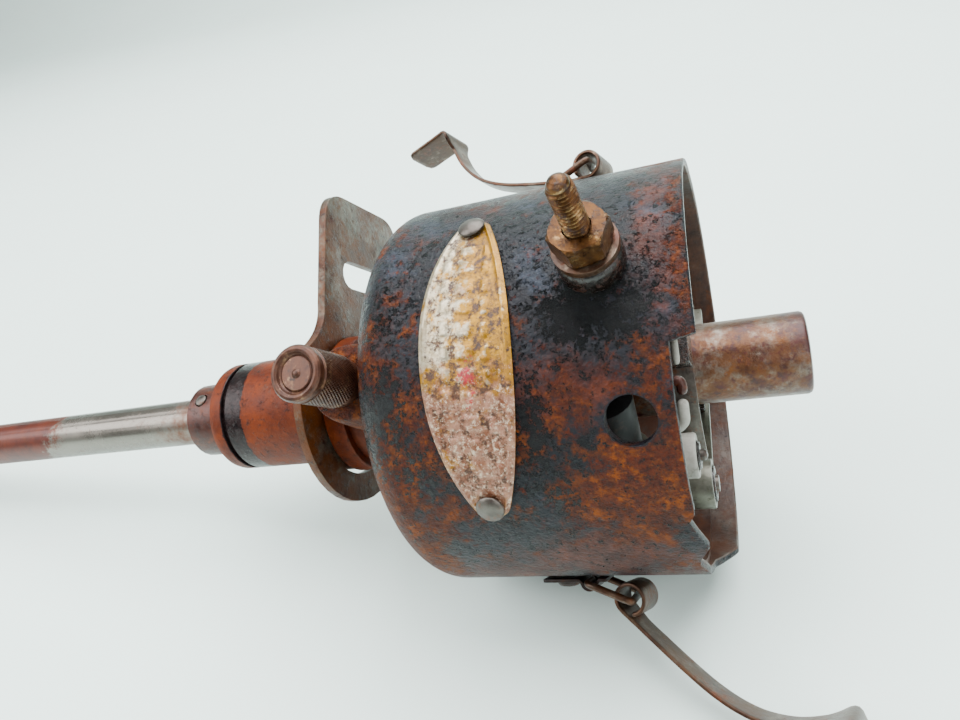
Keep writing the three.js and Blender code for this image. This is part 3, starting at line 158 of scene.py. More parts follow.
def tidy(mesh, gap=1e-6):
    """Merges points that coincide at seams and poles, and turns all faces outwards."""
    work = bmesh.new()
    work.from_mesh(mesh)
    bmesh.ops.remove_doubles(work, verts=work.verts, dist=gap)
    bmesh.ops.dissolve_degenerate(work, edges=work.edges, dist=gap / 10)
    bmesh.ops.recalc_face_normals(work, faces=work.faces)
    work.to_mesh(mesh)
    work.free()
    return mesh


def grid(name, points, round_u=True, round_v=False, caps=False, zones=None):
    """Quads over an array of points [u, v, 3]; a round direction closes, caps close both ends in v.

    zones is a dict of per-point values stored as attributes.
    """
    nu, nv = points.shape[:2]
    index = np.arange(nu * nv).reshape(nu, nv)
    iu = np.arange(nu if round_u else nu - 1)
    iv = np.arange(nv if round_v else nv - 1)
    a = index[np.ix_(iu, iv)]
    b = index[np.ix_((iu + 1) % nu, iv)]
    c = index[np.ix_((iu + 1) % nu, (iv + 1) % nv)]
    d = index[np.ix_(iu, (iv + 1) % nv)]
    faces = np.stack([a, b, c, d], axis=-1).reshape(-1, 4).tolist()
    if caps:
        faces += [index[::-1, 0].tolist(), index[:, -1].tolist()]
    mesh = bpy.data.meshes.new(name)
    mesh.from_pydata(points.reshape(-1, 3).tolist(), [], faces)
    for key, values in (zones or {}).items():
        layer = mesh.attributes.new(key, "FLOAT", "POINT")
        layer.data.foreach_set("value", np.ascontiguousarray(values, np.float32).ravel())
    return tidy(mesh)


def upright_turning(origin, along, up, side, outline, steps, shape=None):
    """Points of an outline [out, height] turned round a fitting's upward line.

    Point = origin + height x up + out x (cos t along + sin t side); shape(t, out, height) may alter out.
    """
    t = np.linspace(0, 2 * np.pi, steps, endpoint=False)[:, None]
    out, height = outline[None, :, 0], outline[None, :, 1]
    reach = np.broadcast_to(out, (steps, outline.shape[0])) if shape is None else shape(t, out, height)
    sweep = np.cos(t)[..., None] * along + np.sin(t)[..., None] * side
    return origin + MM * (reach[..., None] * sweep + height[..., None] * up)


def refined(node, material, body, bevel=0.25, sharp=35.0):
    """A merged copy of a frame node, its edges rounded, standing in for it."""
    source = frame["nodes"][node]
    mesh = source.data.copy()
    mesh.materials.clear()
    work = bmesh.new()
    work.from_mesh(mesh)
    bmesh.ops.remove_doubles(work, verts=work.verts, dist=2e-6)
    bmesh.ops.dissolve_limit(work, angle_limit=np.radians(1.0), verts=work.verts, edges=work.edges)
    corners = [e for e in work.edges if len(e.link_faces) == 2 and e.calc_face_angle(0) > np.radians(40)]
    if bevel and corners:
        bmesh.ops.bevel(work, geom=corners, offset=bevel * MM, offset_type="OFFSET", segments=2,
                        profile=0.6, affect="EDGES", clamp_overlap=True)
    bmesh.ops.triangulate(work, faces=[f for f in work.faces if len(f.verts) > 4])
    work.to_mesh(mesh)
    work.free()
    return keep(node + "_worn", mesh, body, material, node, sharp)


def tube_along(path, radius, steps=14):
    """A round wire: circle points about each path point, in a frame carried along without twist."""
    tangent = np.gradient(path, axis=0)
    tangent /= np.linalg.norm(tangent, axis=1, keepdims=True)
    first = np.cross(tangent[0], [0.3, 0.5, 0.81])
    normals = [first / np.linalg.norm(first)]
    for t in tangent[1:]:
        n = normals[-1] - t * (normals[-1] @ t)
        normals.append(n / np.linalg.norm(n))
    normal = np.array(normals)
    other = np.cross(tangent, normal)
    a = np.linspace(0, 2 * np.pi, steps, endpoint=False)[:, None, None]
    return path[None] + radius * (np.cos(a) * normal[None] + np.sin(a) * other[None])


# ---------------------------------------------------------------- materials
def node(tree, kind, inputs=None, **settings):
    """Adds one node. settings are its own fields; inputs gives a value or an output for each input."""
    made = tree.nodes.new(kind)
    for key, value in settings.items():
        setattr(made, key, value)
    for key, value in (inputs or {}).items():
        if isinstance(value, bpy.types.NodeSocket):
            tree.links.new(value, made.inputs[key])
        else:
            made.inputs[key].default_value = value
    return made


def zone_level(tree, coords, zone):
    """Strength 0..1 of a zone: an attribute by name, or a ramp between two places along the shaft, mm."""
    if isinstance(zone, str):
        return node(tree, "ShaderNodeAttribute", attribute_name=zone).outputs["Fac"]
    along = node(tree, "ShaderNodeVectorMath", {0: coords, 1: SHAFT_AXIS}, operation="DOT_PRODUCT")
    start, end = (float(RIM_CENTRE @ SHAFT_AXIS) + z * MM for z in zone)
    return node(tree, "ShaderNodeMapRange", {"Value": along.outputs["Value"], "From Min": start,
                                             "From Max": end}).outputs[0]


FRAY = 0.42         # how much the fine pattern frays the edges of patches
FRAY_SIZE = 1.6     # its largest size, mm
MIDDLE = 0.71       # value that half of a frayed pattern is above
REACH = 0.42        # how far the limit moves between a share of all and a share of none


def patches(tree, coords, size, share, seed, edge=0.09, zone=None, gain=0.35):
    """Mask of irregular patches about `size` mm across, over roughly `share` of the surface.

    A second, finer pattern frays their edges. A zone in 0..1 makes them commoner where it is high.
    """
    cloud = node(tree, "ShaderNodeTexNoise", {"Vector": coords, "W": seed, "Scale": 1000 / size,
                                              "Detail": 8.0, "Roughness": 0.68},
                 noise_dimensions="4D").outputs[0]
    fray = node(tree, "ShaderNodeTexNoise", {"Vector": coords, "Scale": 1000 / min(0.3 * size, FRAY_SIZE),
                                             "Detail": 4.0, "Roughness": 0.7}).outputs[0]
    cloud = node(tree, "ShaderNodeMath", {0: fray, 1: FRAY, 2: cloud}, operation="MULTIPLY_ADD").outputs[0]
    if zone:
        level = zone_level(tree, coords, zone)
        cloud = node(tree, "ShaderNodeMath", {0: level, 1: gain, 2: cloud},
                     operation="MULTIPLY_ADD").outputs[0]
    limit = MIDDLE + (0.5 - share) * REACH
    return node(tree, "ShaderNodeMapRange", {"Value": cloud, "From Min": limit - edge,
                                             "From Max": limit + edge},
                interpolation_type="SMOOTHSTEP").outputs[0]


GRIT = 0.9          # size of the fine grain of every finish, mm


def blank_material(name):
    """A new material without nodes, its tree, and the object's own coordinates in it."""
    made = bpy.data.materials.new(name)
    made.use_nodes = True
    made.node_tree.nodes.clear()
    return made, made.node_tree, node(made.node_tree, "ShaderNodeTexCoord").outputs["Object"]


def stain(size, share, tone, other_tone, rough, **more):
    """A layer of a finish: patches about `size` mm across over a share of it, in two mottled tones."""
    return dict(size=size, share=share, tones=(tone, other_tone), rough=rough, **more)


def finish(name, tones, grain, layers, metallic, roughness, relief=0.05, oil=1.0, gloss=0.5):
    """A worn finish: two tones that wander over `grain` mm, then layers on top in order.

    Each layer is a stain, which may also have metal, height (mm), zone, gain and edge. relief is the
    depth in mm of the fine grain, oil the share of the old oil that darkens it, gloss the strength of
    reflections off what isn't metal.
    """
    made, tree, coords = blank_material(name)
    wander = node(tree, "ShaderNodeTexNoise", {"Vector": coords, "Scale": 1000 / grain, "Detail": 9.0,
                                               "Roughness": 0.7}).outputs[0]
    share = node(tree, "ShaderNodeMapRange", {"Value": wander, "From Min": 0.34,
                                              "From Max": 0.66}).outputs[0]
    colour = node(tree, "ShaderNodeMix", {0: share, 6: linear(tones[0]), 7: linear(tones[1])},
                  data_type="RGBA").outputs[2]
    rough = node(tree, "ShaderNodeMapRange", {"Value": wander, "From Min": 0.3, "From Max": 0.7,
                                              "To Min": roughness - 0.1,
                                              "To Max": roughness + 0.12}).outputs[0]
    metal = metallic
    grit = node(tree, "ShaderNodeTexNoise", {"Vector": coords, "Scale": 1000 / GRIT, "Detail": 5.0,
                                             "Roughness": 0.6}).outputs[0]
    height = node(tree, "ShaderNodeMath", {0: grit, 1: relief}, operation="MULTIPLY").outputs[0]
    for number, layer in enumerate(layers):
        mask = patches(tree, coords, layer["size"], layer["share"], 3.7 * number + 1.3,
                       layer.get("edge", 0.09), layer.get("zone"), layer.get("gain", 0.35))
        mottle = node(tree, "ShaderNodeTexNoise", {"Vector": coords, "W": 2.0 + number,
                                                   "Scale": 2200 / layer["size"], "Detail": 6.0,
                                                   "Roughness": 0.7}, noise_dimensions="4D").outputs[0]
        share = node(tree, "ShaderNodeMapRange", {"Value": mottle, "From Min": 0.38,
                                                  "From Max": 0.62}).outputs[0]
        one, other = (linear(tone) for tone in layer["tones"])
        over = node(tree, "ShaderNodeMix", {0: share, 6: one, 7: other}, data_type="RGBA").outputs[2]
        colour = node(tree, "ShaderNodeMix", {0: mask, 6: colour, 7: over}, data_type="RGBA").outputs[2]
        rough = node(tree, "ShaderNodeMix", {0: mask, 2: rough, 3: layer["rough"]}).outputs[0]
        if layer.get("metal", metallic) != metallic:
            metal = node(tree, "ShaderNodeMix", {0: mask, 2: metal, 3: layer["metal"]}).outputs[0]
        if layer.get("height"):
            swell = node(tree, "ShaderNodeMath", {0: mask, 1: mottle}, operation="MULTIPLY").outputs[0]
            height = node(tree, "ShaderNodeMath", {0: swell, 1: layer["height"], 2: height},
                          operation="MULTIPLY_ADD").outputs[0]
    age = bpy.context.scene.distributor_finishes
    colour = node(tree, "ShaderNodeHueSaturation", {"Color": colour, "Saturation": age.warmth,
                                                    "Value": 1 - oil * (1 - age.depth)}).outputs[0]
    bump = node(tree, "ShaderNodeBump", {"Height": height, "Distance": MM, "Strength": 1.0}).outputs[0]
    shader = node(tree, "ShaderNodeBsdfPrincipled", {"Base Color": colour, "Metallic": metal,
                                                     "Roughness": rough, "Specular IOR Level": gloss,
                                                     "Normal": bump})
    node(tree, "ShaderNodeOutputMaterial", {"Surface": shader.outputs[0]})
    return made


def make_materials():
    """Every finish, by the name of the real one."""
    return {
        # stoved black enamel on cast iron: blue-black and gritty, blue-grey chalky patches that also carry a
        # painted sky reflection on the upper side, orange rust, glossy tar
        "enamelled_iron": finish(
            "worn_black_enamel_on_cast_iron", ("#111115", "#2F3139"), 5.0, [
                # blue-grey patches on the bowl's upper side: chalky enamel with a painted reflection of the
                # sky
                stain(7, 0.05, "#343C4A", "#626A78", 0.4, zone="chalk", gain=0.24, edge=0.14),
                stain(11, 0.10, "#3A1E1C", "#85584E", 0.42, zone="bare", gain=0.34, edge=0.14),
                stain(6, 0.09, "#5E2408", "#BE621A", 0.6, height=0.3, zone="rust", gain=0.36, edge=0.12),
                stain(2.2, 0.12, "#380F0A", "#80381A", 0.5, height=0.2, zone="rust", gain=0.24, edge=0.08),
                stain(1.3, 0.26, "#040406", "#121117", 0.2, height=0.3, edge=0.06),
                stain(1.4, 0.0, "#030305", "#101018", 0.08, height=0.9, zone="tar", gain=0.34, edge=0.05),
            ], 0.0, 0.3, relief=0.40, oil=1.32, gloss=0.16),
        # bare casting that has rusted all over: orange-red with dark pits, a sooty band by the groove
        "rusted_iron": finish(
            "orange_rust_on_turned_iron", ("#602512", "#9C4620"), 6.0, [
                stain(8, 0.35, "#4A2A26", "#7B4A3C", 0.5, edge=0.14),
                stain(14, 0.12, "#8C7268", "#6E5A54", 0.4, metal=0.4, edge=0.14),
                stain(2.0, 0.22, "#1E100E", "#3A1E18", 0.5, height=0.1),
                stain(3.0, 0.0, "#1A1416", "#3A2E2E", 0.25, zone="band", gain=0.6, metal=0.3),
            ], 0.15, 0.5, relief=0.10, oil=1.15, gloss=0.2),
        # inside of the bowl: thin brown rust, smooth and a little oily
        "inside_iron": finish(
            "oily_brown_rust_inside", ("#38241F", "#6B4A3C"), 8.0, [
                stain(9, 0.30, "#5A5450", "#7A716A", 0.4, metal=0.3, edge=0.14),
                stain(6, 0.22, "#7A4526", "#603822", 0.6),
                stain(1.5, 0.18, "#1C1210", "#30201C", 0.5),
            ], 0.1, 0.42, relief=0.08),
        # ground shaft: grey and polished, stained red-brown towards the far end
        "ground_steel": finish(
            "ground_steel_with_rust_stain", ("#8F8A84", "#A9A49C"), 25.0, [
                stain(14, 0.10, "#4E2420", "#7A4236", 0.38, metal=0.35, zone=(-178.0, -200.0), gain=0.45,
                      edge=0.07),
                stain(11, 0.04, "#6A4638", "#8A5E4C", 0.4, metal=0.5, zone=(-150.0, -132.0), gain=0.26,
                      edge=0.16),
                stain(1.6, 0.05, "#4A3630", "#6A4A3C", 0.5, metal=0.4),
            ], 0.85, 0.26, relief=0.012),
        # the stub: turned steel, mottled dark red and orange with grey still showing
        "mottled_steel": finish(
            "mottled_rust_on_turned_steel", ("#5E4032", "#8E6A54"), 5.0, [
                stain(8, 0.34, "#857C74", "#B3ACA3", 0.28, metal=0.8, edge=0.14),
                stain(5, 0.22, "#6E3216", "#A0602C", 0.5, metal=0.15, height=0.05),
                stain(4, 0.36, "#32110E", "#5E211A", 0.36, metal=0.3),
                stain(6, 0.02, "#3A1A18", "#5A2420", 0.4, metal=0.2, zone=(10.0, 18.0), gain=0.24),
            ], 0.55, 0.34, relief=0.07, oil=1.1),
        # nameplate: yellow brass, silvery plating with a painted highlight on the upper half and on the raised
        # border and bands, brown rust over the lower half
        "plate_brass": finish(
            "stained_brass_plate", ("#86602A", "#C89A54"), 3.0, [
                # silvery plating with a painted highlight: paler on the upper half towards one side and on the
                # raised border and bands
                stain(3.5, 0.06, "#A89C84", "#E4DAC6", 0.3, metal=0.6, zone="silver", gain=0.28, edge=0.10),
                stain(5, 0.05, "#7C5648", "#BE9A8A", 0.42, metal=0.35, zone="lower", gain=0.32, edge=0.13),
                stain(1.8, 0.0, "#8E2430", "#C4505A", 0.5, metal=0.0, zone="paint", gain=0.28),
                stain(0.8, 0.08, "#DCC4AC", "#F4E6D6", 0.5, metal=0.3, zone="lower", gain=0.10, edge=0.08),
                stain(1.5, 0.14, "#24130B", "#5A3620", 0.5, metal=0.1, height=0.06, zone="dirt",
                      gain=0.12, edge=0.08),
            ], 0.5, 0.3, relief=0.10, oil=0.75),
        # stud, nut: bronze browned by heat and oil, gold on the crests
        "terminal_bronze": finish(
            "browned_bronze", ("#37241A", "#7C5C44"), 1.8, [
                stain(2.5, 0.02, "#94795C", "#C8AE90", 0.25, metal=0.95, zone="crest", gain=0.18, edge=0.1),
                stain(2.0, 0.24, "#22130F", "#4A2A1E", 0.4, metal=0.2, height=0.08),
            ], 0.75, 0.32, relief=0.08),
        # grease cup: dull bronze gone brown, paler where it has been rubbed
        "cup_bronze": finish(
            "dull_brown_bronze", ("#3E2822", "#75564A"), 2.5, [
                stain(3, 0.18, "#9A7E6A", "#B89E88", 0.35, metal=0.8),
                stain(2, 0.18, "#21120E", "#3A241C", 0.5, metal=0.2),
            ], 0.55, 0.38, relief=0.05),
        # spring clips: smooth brown oxide with grey rubbed through
        "spring_steel": finish(
            "brown_oxide_spring_steel", ("#3E2C25", "#6A5040"), 6.0, [
                stain(6, 0.24, "#83766C", "#A89A8C", 0.3, metal=0.85, edge=0.13),
                stain(4, 0.24, "#5E2E1A", "#86482A", 0.5, metal=0.2, height=0.04),
            ], 0.55, 0.34, relief=0.04),
        # pressed steel: brown rust with dull grey between, dark oily specks
        "rusty_steel": finish(
            "rust_brown_pressed_steel", ("#45271A", "#7E4C2E"), 6.0, [
                stain(12, 0.34, "#605C54", "#8A867C", 0.34, metal=0.6, edge=0.13),
                stain(5, 0.22, "#33190F", "#5A2E1C", 0.6, height=0.08),
                stain(1.4, 0.20, "#100A0A", "#241614", 0.35, height=0.1),
            ], 0.25, 0.45, relief=0.10, oil=1.1, gloss=0.4),
        # turned steel under old oil: dark red-brown with a soft sheen
        "collar_steel": finish(
            "dark_red_brown_steel", ("#35201D", "#664038"), 4.0, [
                stain(4, 0.26, "#6E3A26", "#8A4C30", 0.5, metal=0.2),
                stain(1.5, 0.2, "#140C0C", "#281816", 0.35, height=0.08),
            ], 0.35, 0.38, relief=0.06),
        # small steel parts painted nearly black as painted shade, where they sit in shade: a weak sheen, a
        # little brown
        "steel_in_painted_shade": finish(
            "steel_painted_shade_black", ("#1E1716", "#3E2E28"), 4.0, [
                stain(4, 0.2, "#5E3A28", "#7A4C32", 0.5),
            ], 0.4, 0.36, relief=0.05),
        # plain steel dulled by age: grey, with brown and dark spots
        "bare_steel": finish(
            "dull_bare_steel", ("#56504C", "#85807A"), 3.0, [
                stain(3, 0.26, "#6A4636", "#8A6450", 0.5, metal=0.3),
                stain(1.2, 0.16, "#241A18", "#3A2A26", 0.5, metal=0.3),
            ], 0.75, 0.34, relief=0.04),
        # zinc plating gone dull: cloudy light grey, no rust
        "zinc_plate": finish(
            "dull_zinc_plate", ("#6E6E66", "#9A9A8E"), 4.0, [
                stain(4, 0.24, "#4E4A40", "#6E695A", 0.5, metal=0.5),
            ], 0.6, 0.38, relief=0.03),
        # painted can under oil: even black, hardly any shine
        "black_can": finish(
            "oily_black_can", ("#050506", "#0E0E10"), 4.0, [
                stain(4, 0.2, "#2E241E", "#40322A", 0.5),
            ], 0.0, 0.5, relief=0.03, gloss=0.25),
        # pressed fibre: black-brown and rough, with glossy drops of tar
        "black_fibre": finish(
            "tarry_black_fibre", ("#0C0908", "#241913"), 2.0, [
                stain(2.5, 0.30, "#35190F", "#5A2F1E", 0.4, height=0.12),
                stain(0.9, 0.16, "#050505", "#0E0C0C", 0.1, height=0.3),
            ], 0.0, 0.22, relief=0.20),
        # cotton sleeve: pale, matt and dirty
        "white_sleeve": finish(
            "aged_white_cotton_sleeve", ("#A9A79F", "#D2D0C8"), 2.5, [
                stain(3, 0.2, "#7B756B", "#8E887C", 0.8),
            ], 0.0, 0.6, relief=0.05),
        # old rubber: dark grey and matt
        "lead_rubber": finish(
            "aged_grey_rubber", ("#23262C", "#3C4048"), 3.0, [
                stain(3, 0.2, "#4E4A46", "#5E5A55", 0.8),
            ], 0.0, 0.5, relief=0.03),
        # felt soaked with oil: brown and quite matt
        "felt": finish(
            "oil_soaked_felt", ("#4E4434", "#6D6048"), 1.5, [
                stain(1.5, 0.3, "#2E281E", "#40382B", 0.95),
            ], 0.0, 0.9, relief=0.2),
    }


MATERIALS = {}


def material(name):
    """A finish by name, making them all the first time."""
    if not MATERIALS:
        MATERIALS.update(make_materials())
    return MATERIALS[name]


# ---------------------------------------------------------------- settings
class BowlSettings(bpy.types.PropertyGroup):
    """Sizes of the cast bowl, neck and shank."""

    radius: FloatProperty(name="Bowl radius", description="Outside of the bowl, mm", default=42.5, min=10)
    depth: FloatProperty(name="Bowl depth", description="Rim to the outside of the floor, mm", default=63.8)
    wall: FloatProperty(name="Wall", description="Thickness of the bowl's wall, mm", default=2.7)
    seat_wall: FloatProperty(name="Wall at the cap seat", description="Thickness beside the seat, mm",
                             default=1.6)
    seat_depth: FloatProperty(name="Seat depth", description="Rim to the cap seat, mm", default=5.7)
    shoulder: FloatProperty(name="Shoulder", description="Rounding of the closed end, mm", default=8.0)
    neck: FloatProperty(name="Neck radius", description="Neck behind the bowl, mm", default=14.8)
    shank: FloatProperty(name="Shank radius", description="Turned shank, mm", default=14.0)
    shank_end: FloatProperty(name="Shank end", description="Rim to the shank's free end, mm", default=122.0)
    crust: FloatProperty(name="Crust", description="Depth of the uneven crust of rust, mm", default=0.16)
    steps: IntProperty(name="Steps", description="Steps round the bowl", default=320, min=48)


class FittingSettings(bpy.types.PropertyGroup):
    """Sizes of the nameplate, the terminal and the grease cup."""

    plate_clock: FloatProperty(name="Plate angle", description="Clock angle of the nameplate", default=7.6)
    plate_along: FloatProperty(name="Plate place", description="Its middle behind the rim, mm", default=38.7)
    stud_clock: FloatProperty(name="Stud angle", description="Clock angle of the terminal", default=25.8)
    stud_along: FloatProperty(name="Stud place", description="Stud behind the rim, mm", default=15.2)
    thread_pitch: FloatProperty(name="Thread pitch", description="Of the terminal stud, mm", default=0.79)
    thread_depth: FloatProperty(name="Thread depth", description="Of the terminal stud, mm", default=0.42)
    hole_clock: FloatProperty(name="Hole angle", description="Clock angle of the side hole", default=-10.6)
    hole_along: FloatProperty(name="Hole place", description="Side hole behind the rim, mm", default=11.7)
    cup_clock: FloatProperty(name="Cup angle", description="Clock angle of the grease cup", default=8.5)
    cup_along: FloatProperty(name="Cup place", description="Grease cup behind the rim, mm", default=71.2)
    knurls: IntProperty(name="Knurls", description="Ridges round the grease cup", default=54)
    knurl_depth: FloatProperty(name="Knurl depth", description="Of the grease cup, mm", default=0.22)


class ClipSettings(bpy.types.PropertyGroup):
    """How the two cap clips lie."""

    upper_clock: FloatProperty(name="Upper clip angle", description="Its clock angle", default=97.6)
    lower_clock: FloatProperty(name="Lower clip angle", description="Its clock angle", default=-82.4)
    upper_open: FloatProperty(name="Upper opening", description="Degrees it is swung back", default=179.0)
    lower_open: FloatProperty(name="Lower opening", description="Degrees it is swung back", default=53.5)
    skew: FloatProperty(name="Skew", description="Degrees each clip is bent round its bail", default=12.0)
    sheet: FloatProperty(name="Sheet", description="Thickness of the spring steel, mm", default=0.9)


class FinishSettings(bpy.types.PropertyGroup):
    """How old and oily every finish looks."""

    depth: FloatProperty(name="Depth", description="Brightness left under old oil, 1 is clean", default=0.5)
    warmth: FloatProperty(name="Warmth", description="Saturation of the stains", default=1.32)


class StageSettings(bpy.types.PropertyGroup):
    """Floor, lights and camera."""

    floor: StringProperty(name="Floor", description="Floor colour as sRGB hex", default="#E0F2ED")
    lens: FloatProperty(name="Lens", description="Focal length on a 36 mm wide frame, mm", default=26.68)
    camera_along: FloatProperty(name="Camera along", description="Camera along the shaft from the rim, mm",
                                default=7.4)
    camera_out: FloatProperty(name="Camera out", description="Camera out from the shaft, mm", default=156.9)
    camera_turn: FloatVectorProperty(
        name="Camera turn", description="Camera turned in the distributor's own frame", subtype="EULER",
        default=(1.61198, 0.11435, 0.36594))
    soft_light: FloatProperty(name="Soft light", description="Power of the overhead light, W", default=44.0)


# ---------------------------------------------------------------- the bowl
# broken rim: clock angle and depth below the full rim, mm
RIM_BREAK = np.array([
    (-180, 0.0), (-100.3, 0.0), (-94.5, 2.5), (-88.8, 4.6), (-78.0, 4.8), (-67.9, 4.3), (-59.0, 5.45),
    (-54.6, 5.1), (-51.5, 3.9), (-48.7, 3.0), (-43.0, 4.3), (-38.2, 5.2), (-35.6, 4.15), (-16.0, 4.1),
    (5.8, 4.1), (6.4, 3.6), (6.6, 0.0), (180, 0.0)])

# where each kind of wear, and the painted sky reflection, is: behind the rim mm, clock angle, reach along mm,
# reach round degrees, strength
WEAR_AND_SHEEN = {
    "rust": [(12, -27, 9, 15, 1.0), (4, -24, 5, 22, 0.9), (7, -8, 5, 9, 0.5), (20, -30, 8, 10, 0.8),
             (56, -20, 6, 12, 0.8), (50, -34, 7, 9, 0.6), (58, -52, 7, 20, 0.7), (30, 70, 12, 10, 0.25),
             (4, 74, 4, 8, 0.9), (57, 50, 4, 10, 0.4), (8, -60, 8, 10, 0.4), (24, -8, 6, 10, 0.35),
             (59, 10, 6, 14, 0.55), (34, -12, 8, 9, 0.5), (61, -34, 8, 26, 0.8), (50, -10, 6, 12, 0.5),
             (50, 150, 20, 60, 0.5), (30, -140, 30, 40, 0.5), (1, 30, 2, 30, 0.5)],
    "tar": [(57, 20, 7, 12, 0.55), (60, -14, 5, 10, 0.7), (34, 22, 6, 14, 0.4), (18, 15, 9, 10, 1.0),
            (11, 14, 6, 9, 0.8), (28, -12, 4, 16, 0.8), (26, -28, 4, 10, 0.7), (56, -2, 6, 14, 0.8),
            (52, -20, 6, 10, 0.7), (20, 34, 5, 8, 0.5), (6, 18, 3, 10, 0.5)],
    "bare": [(20, -52, 16, 14, 1.0), (44, -60, 14, 14, 0.9), (20, 0, 8, 9, 0.7), (10, -65, 10, 10, 0.8),
             (5, 40, 4, 30, 0.5)],
    # chalky enamel and a painted sky reflection, blue-grey on the bowl's upper side
    "chalk": [(54, 45, 8, 22, 0.9), (26, 52, 10, 12, 0.5), (5, 40, 4, 26, 0.7), (26, 30, 5, 16, 0.4)],
}


def wear_and_sheen(kind, along, clock):
    """Strength of one kind of wear, the chalky one with its painted sky reflection too: the largest of soft
    spots exp(-(dx/a)^2 - (dc/b)^2).
    """
    total = np.zeros(np.broadcast(along, clock).shape)
    for place, angle, reach, spread, strength in WEAR_AND_SHEEN[kind]:
        turn = (clock - angle + 180) % 360 - 180
        spot = strength * np.exp(-((along + place) / reach) ** 2 - (turn / spread) ** 2)
        total = np.maximum(total, spot)
    return total


def bowl_outline(s):
    """Closed outline [along, out] of the casting with a code for each point: 0 outside, 1 neck, 2 inside."""
    t = np.radians(np.linspace(90, 165, 12))
    shoulder = np.stack([-s.depth + s.shoulder + s.shoulder * np.cos(t),
                         s.radius - s.shoulder + s.shoulder * np.sin(t)], axis=1)
    inner, floor, bore = s.radius - s.wall, -s.depth + 4.0, 8.8
    outside = [(-0.35, s.radius), *shoulder.tolist(), (-s.depth - 0.4, 30.0)]
    neck = [(-s.depth - 2.4, 20.8), (-s.depth - 4.0, 17.2), (-s.depth - 7.4, s.neck), (-80.7, s.neck),
            (-80.7, 16.6),
            (-81.0, 16.8), (-85.4, 16.8), (-85.7, 16.5), (-85.7, s.shank), (-115.8, s.shank), (-116.0, 13.8),
            (-116.0, 13.0), (-117.3, 13.0), (-117.3, 13.8), (-117.5, s.shank), (-119.8, s.shank),
            (-120.8, 13.7),
            (-121.6, 12.8), (-s.shank_end, 11.8), (-s.shank_end, bore)]
    inside = [(floor, bore), (floor, inner - 6), (floor + 0.6, inner - 4), (floor + 2.2, inner - 1.8),
              (floor + 6, inner), (-s.seat_depth, inner), (-s.seat_depth, s.radius - s.seat_wall),
              (-0.3, s.radius - s.seat_wall), (0.0, s.radius - s.seat_wall + 0.3), (0.0, s.radius - 0.35)]
    rows = [stepped(part, 1.1) for part in (outside, neck, inside)]
    points = np.vstack(rows)
    code = np.concatenate([np.full(len(r), k) for k, r in enumerate(rows)])
    return points, code


def bowl_points(s):
    """Grid of the casting: the outline turned round the shaft, its rim drawn back where it is broken.

    along' = along - depth(clock) x w, with w falling from 1 at the rim to 0 at 7 mm behind it on the
    outside and at the seat on the inside. out' = out - crust x (1 + ripple) / 2 on the outside.
    """
    outline, code = bowl_outline(s)
    clock = np.linspace(-180, 180, s.steps, endpoint=False)[:, None]
    turn = np.radians(clock)
    depth = np.interp(clock[:, 0], RIM_BREAK[:, 0], RIM_BREAK[:, 1])[:, None]
    chips = ripple(turn, 0.0, 5, octaves=6)
    whole = depth + 0.12 * np.clip(chips, 0, 1)
    depth = np.where(depth > 0.5, np.clip(depth + 0.35 * chips, 0.2, 5.5), whole)
    along, out = outline[None, :, 0], outline[None, :, 1]
    reach = np.where(code == 2, s.seat_depth, 7.0)[None]
    share = np.clip(1 + along / reach, 0, 1) * (code != 1)[None]
    along = along - depth * share
    uneven = 0.5 + 0.5 * ripple(turn, along * 0.18, 11, octaves=6)
    crusty = (code == 0)[None] * s.crust + (code == 1)[None] * 0.06
    out = out - crusty * uneven
    grown = {kind: wear_and_sheen(kind, along, clock) * (code == 0)[None] for kind in WEAR_AND_SHEEN}
    grown["band"] = np.clip((along + 117.6) / 0.4, 0, 1) * np.clip((-111.0 - along) / 0.8, 0, 1) + 0 * clock
    return at(along, out, clock), code, grown


def cylinder_cutter(along, clock, radius):
    """A temporary round cutter through the wall of the bowl."""
    origin, x, up, side = fitting(-along, clock)
    outline = np.array([(0, 34.0), (radius, 34.0), (radius, 48.0), (0, 48.0)])
    mesh = grid("cutter", upright_turning(origin, x, up, side, outline, 64))
    cutter = bpy.data.objects.new("cutter", mesh)
    bpy.context.scene.collection.objects.link(cutter)
    return cutter


def with_holes(piece, cutters):
    """Cuts holes out of a piece for good and removes the cutters."""
    for cutter in cutters:
        change = piece.modifiers.new("hole", "BOOLEAN")
        change.operation, change.object, change.solver = "DIFFERENCE", cutter, "EXACT"
    bpy.context.view_layer.update()
    graph = bpy.context.evaluated_depsgraph_get()
    mesh = bpy.data.meshes.new_from_object(piece.evaluated_get(graph), preserve_all_data_layers=True,
                                           depsgraph=graph)
    piece.modifiers.clear()
    piece.data = mesh
    for cutter in cutters:
        bpy.data.objects.remove(cutter)
    return piece


BOSS_TOP = 30.5         # out from the shaft, mm
BOSS_HEIGHT = 19.0
BOSS_RADIUS = 7.4
BOSS_BORE = 4.4


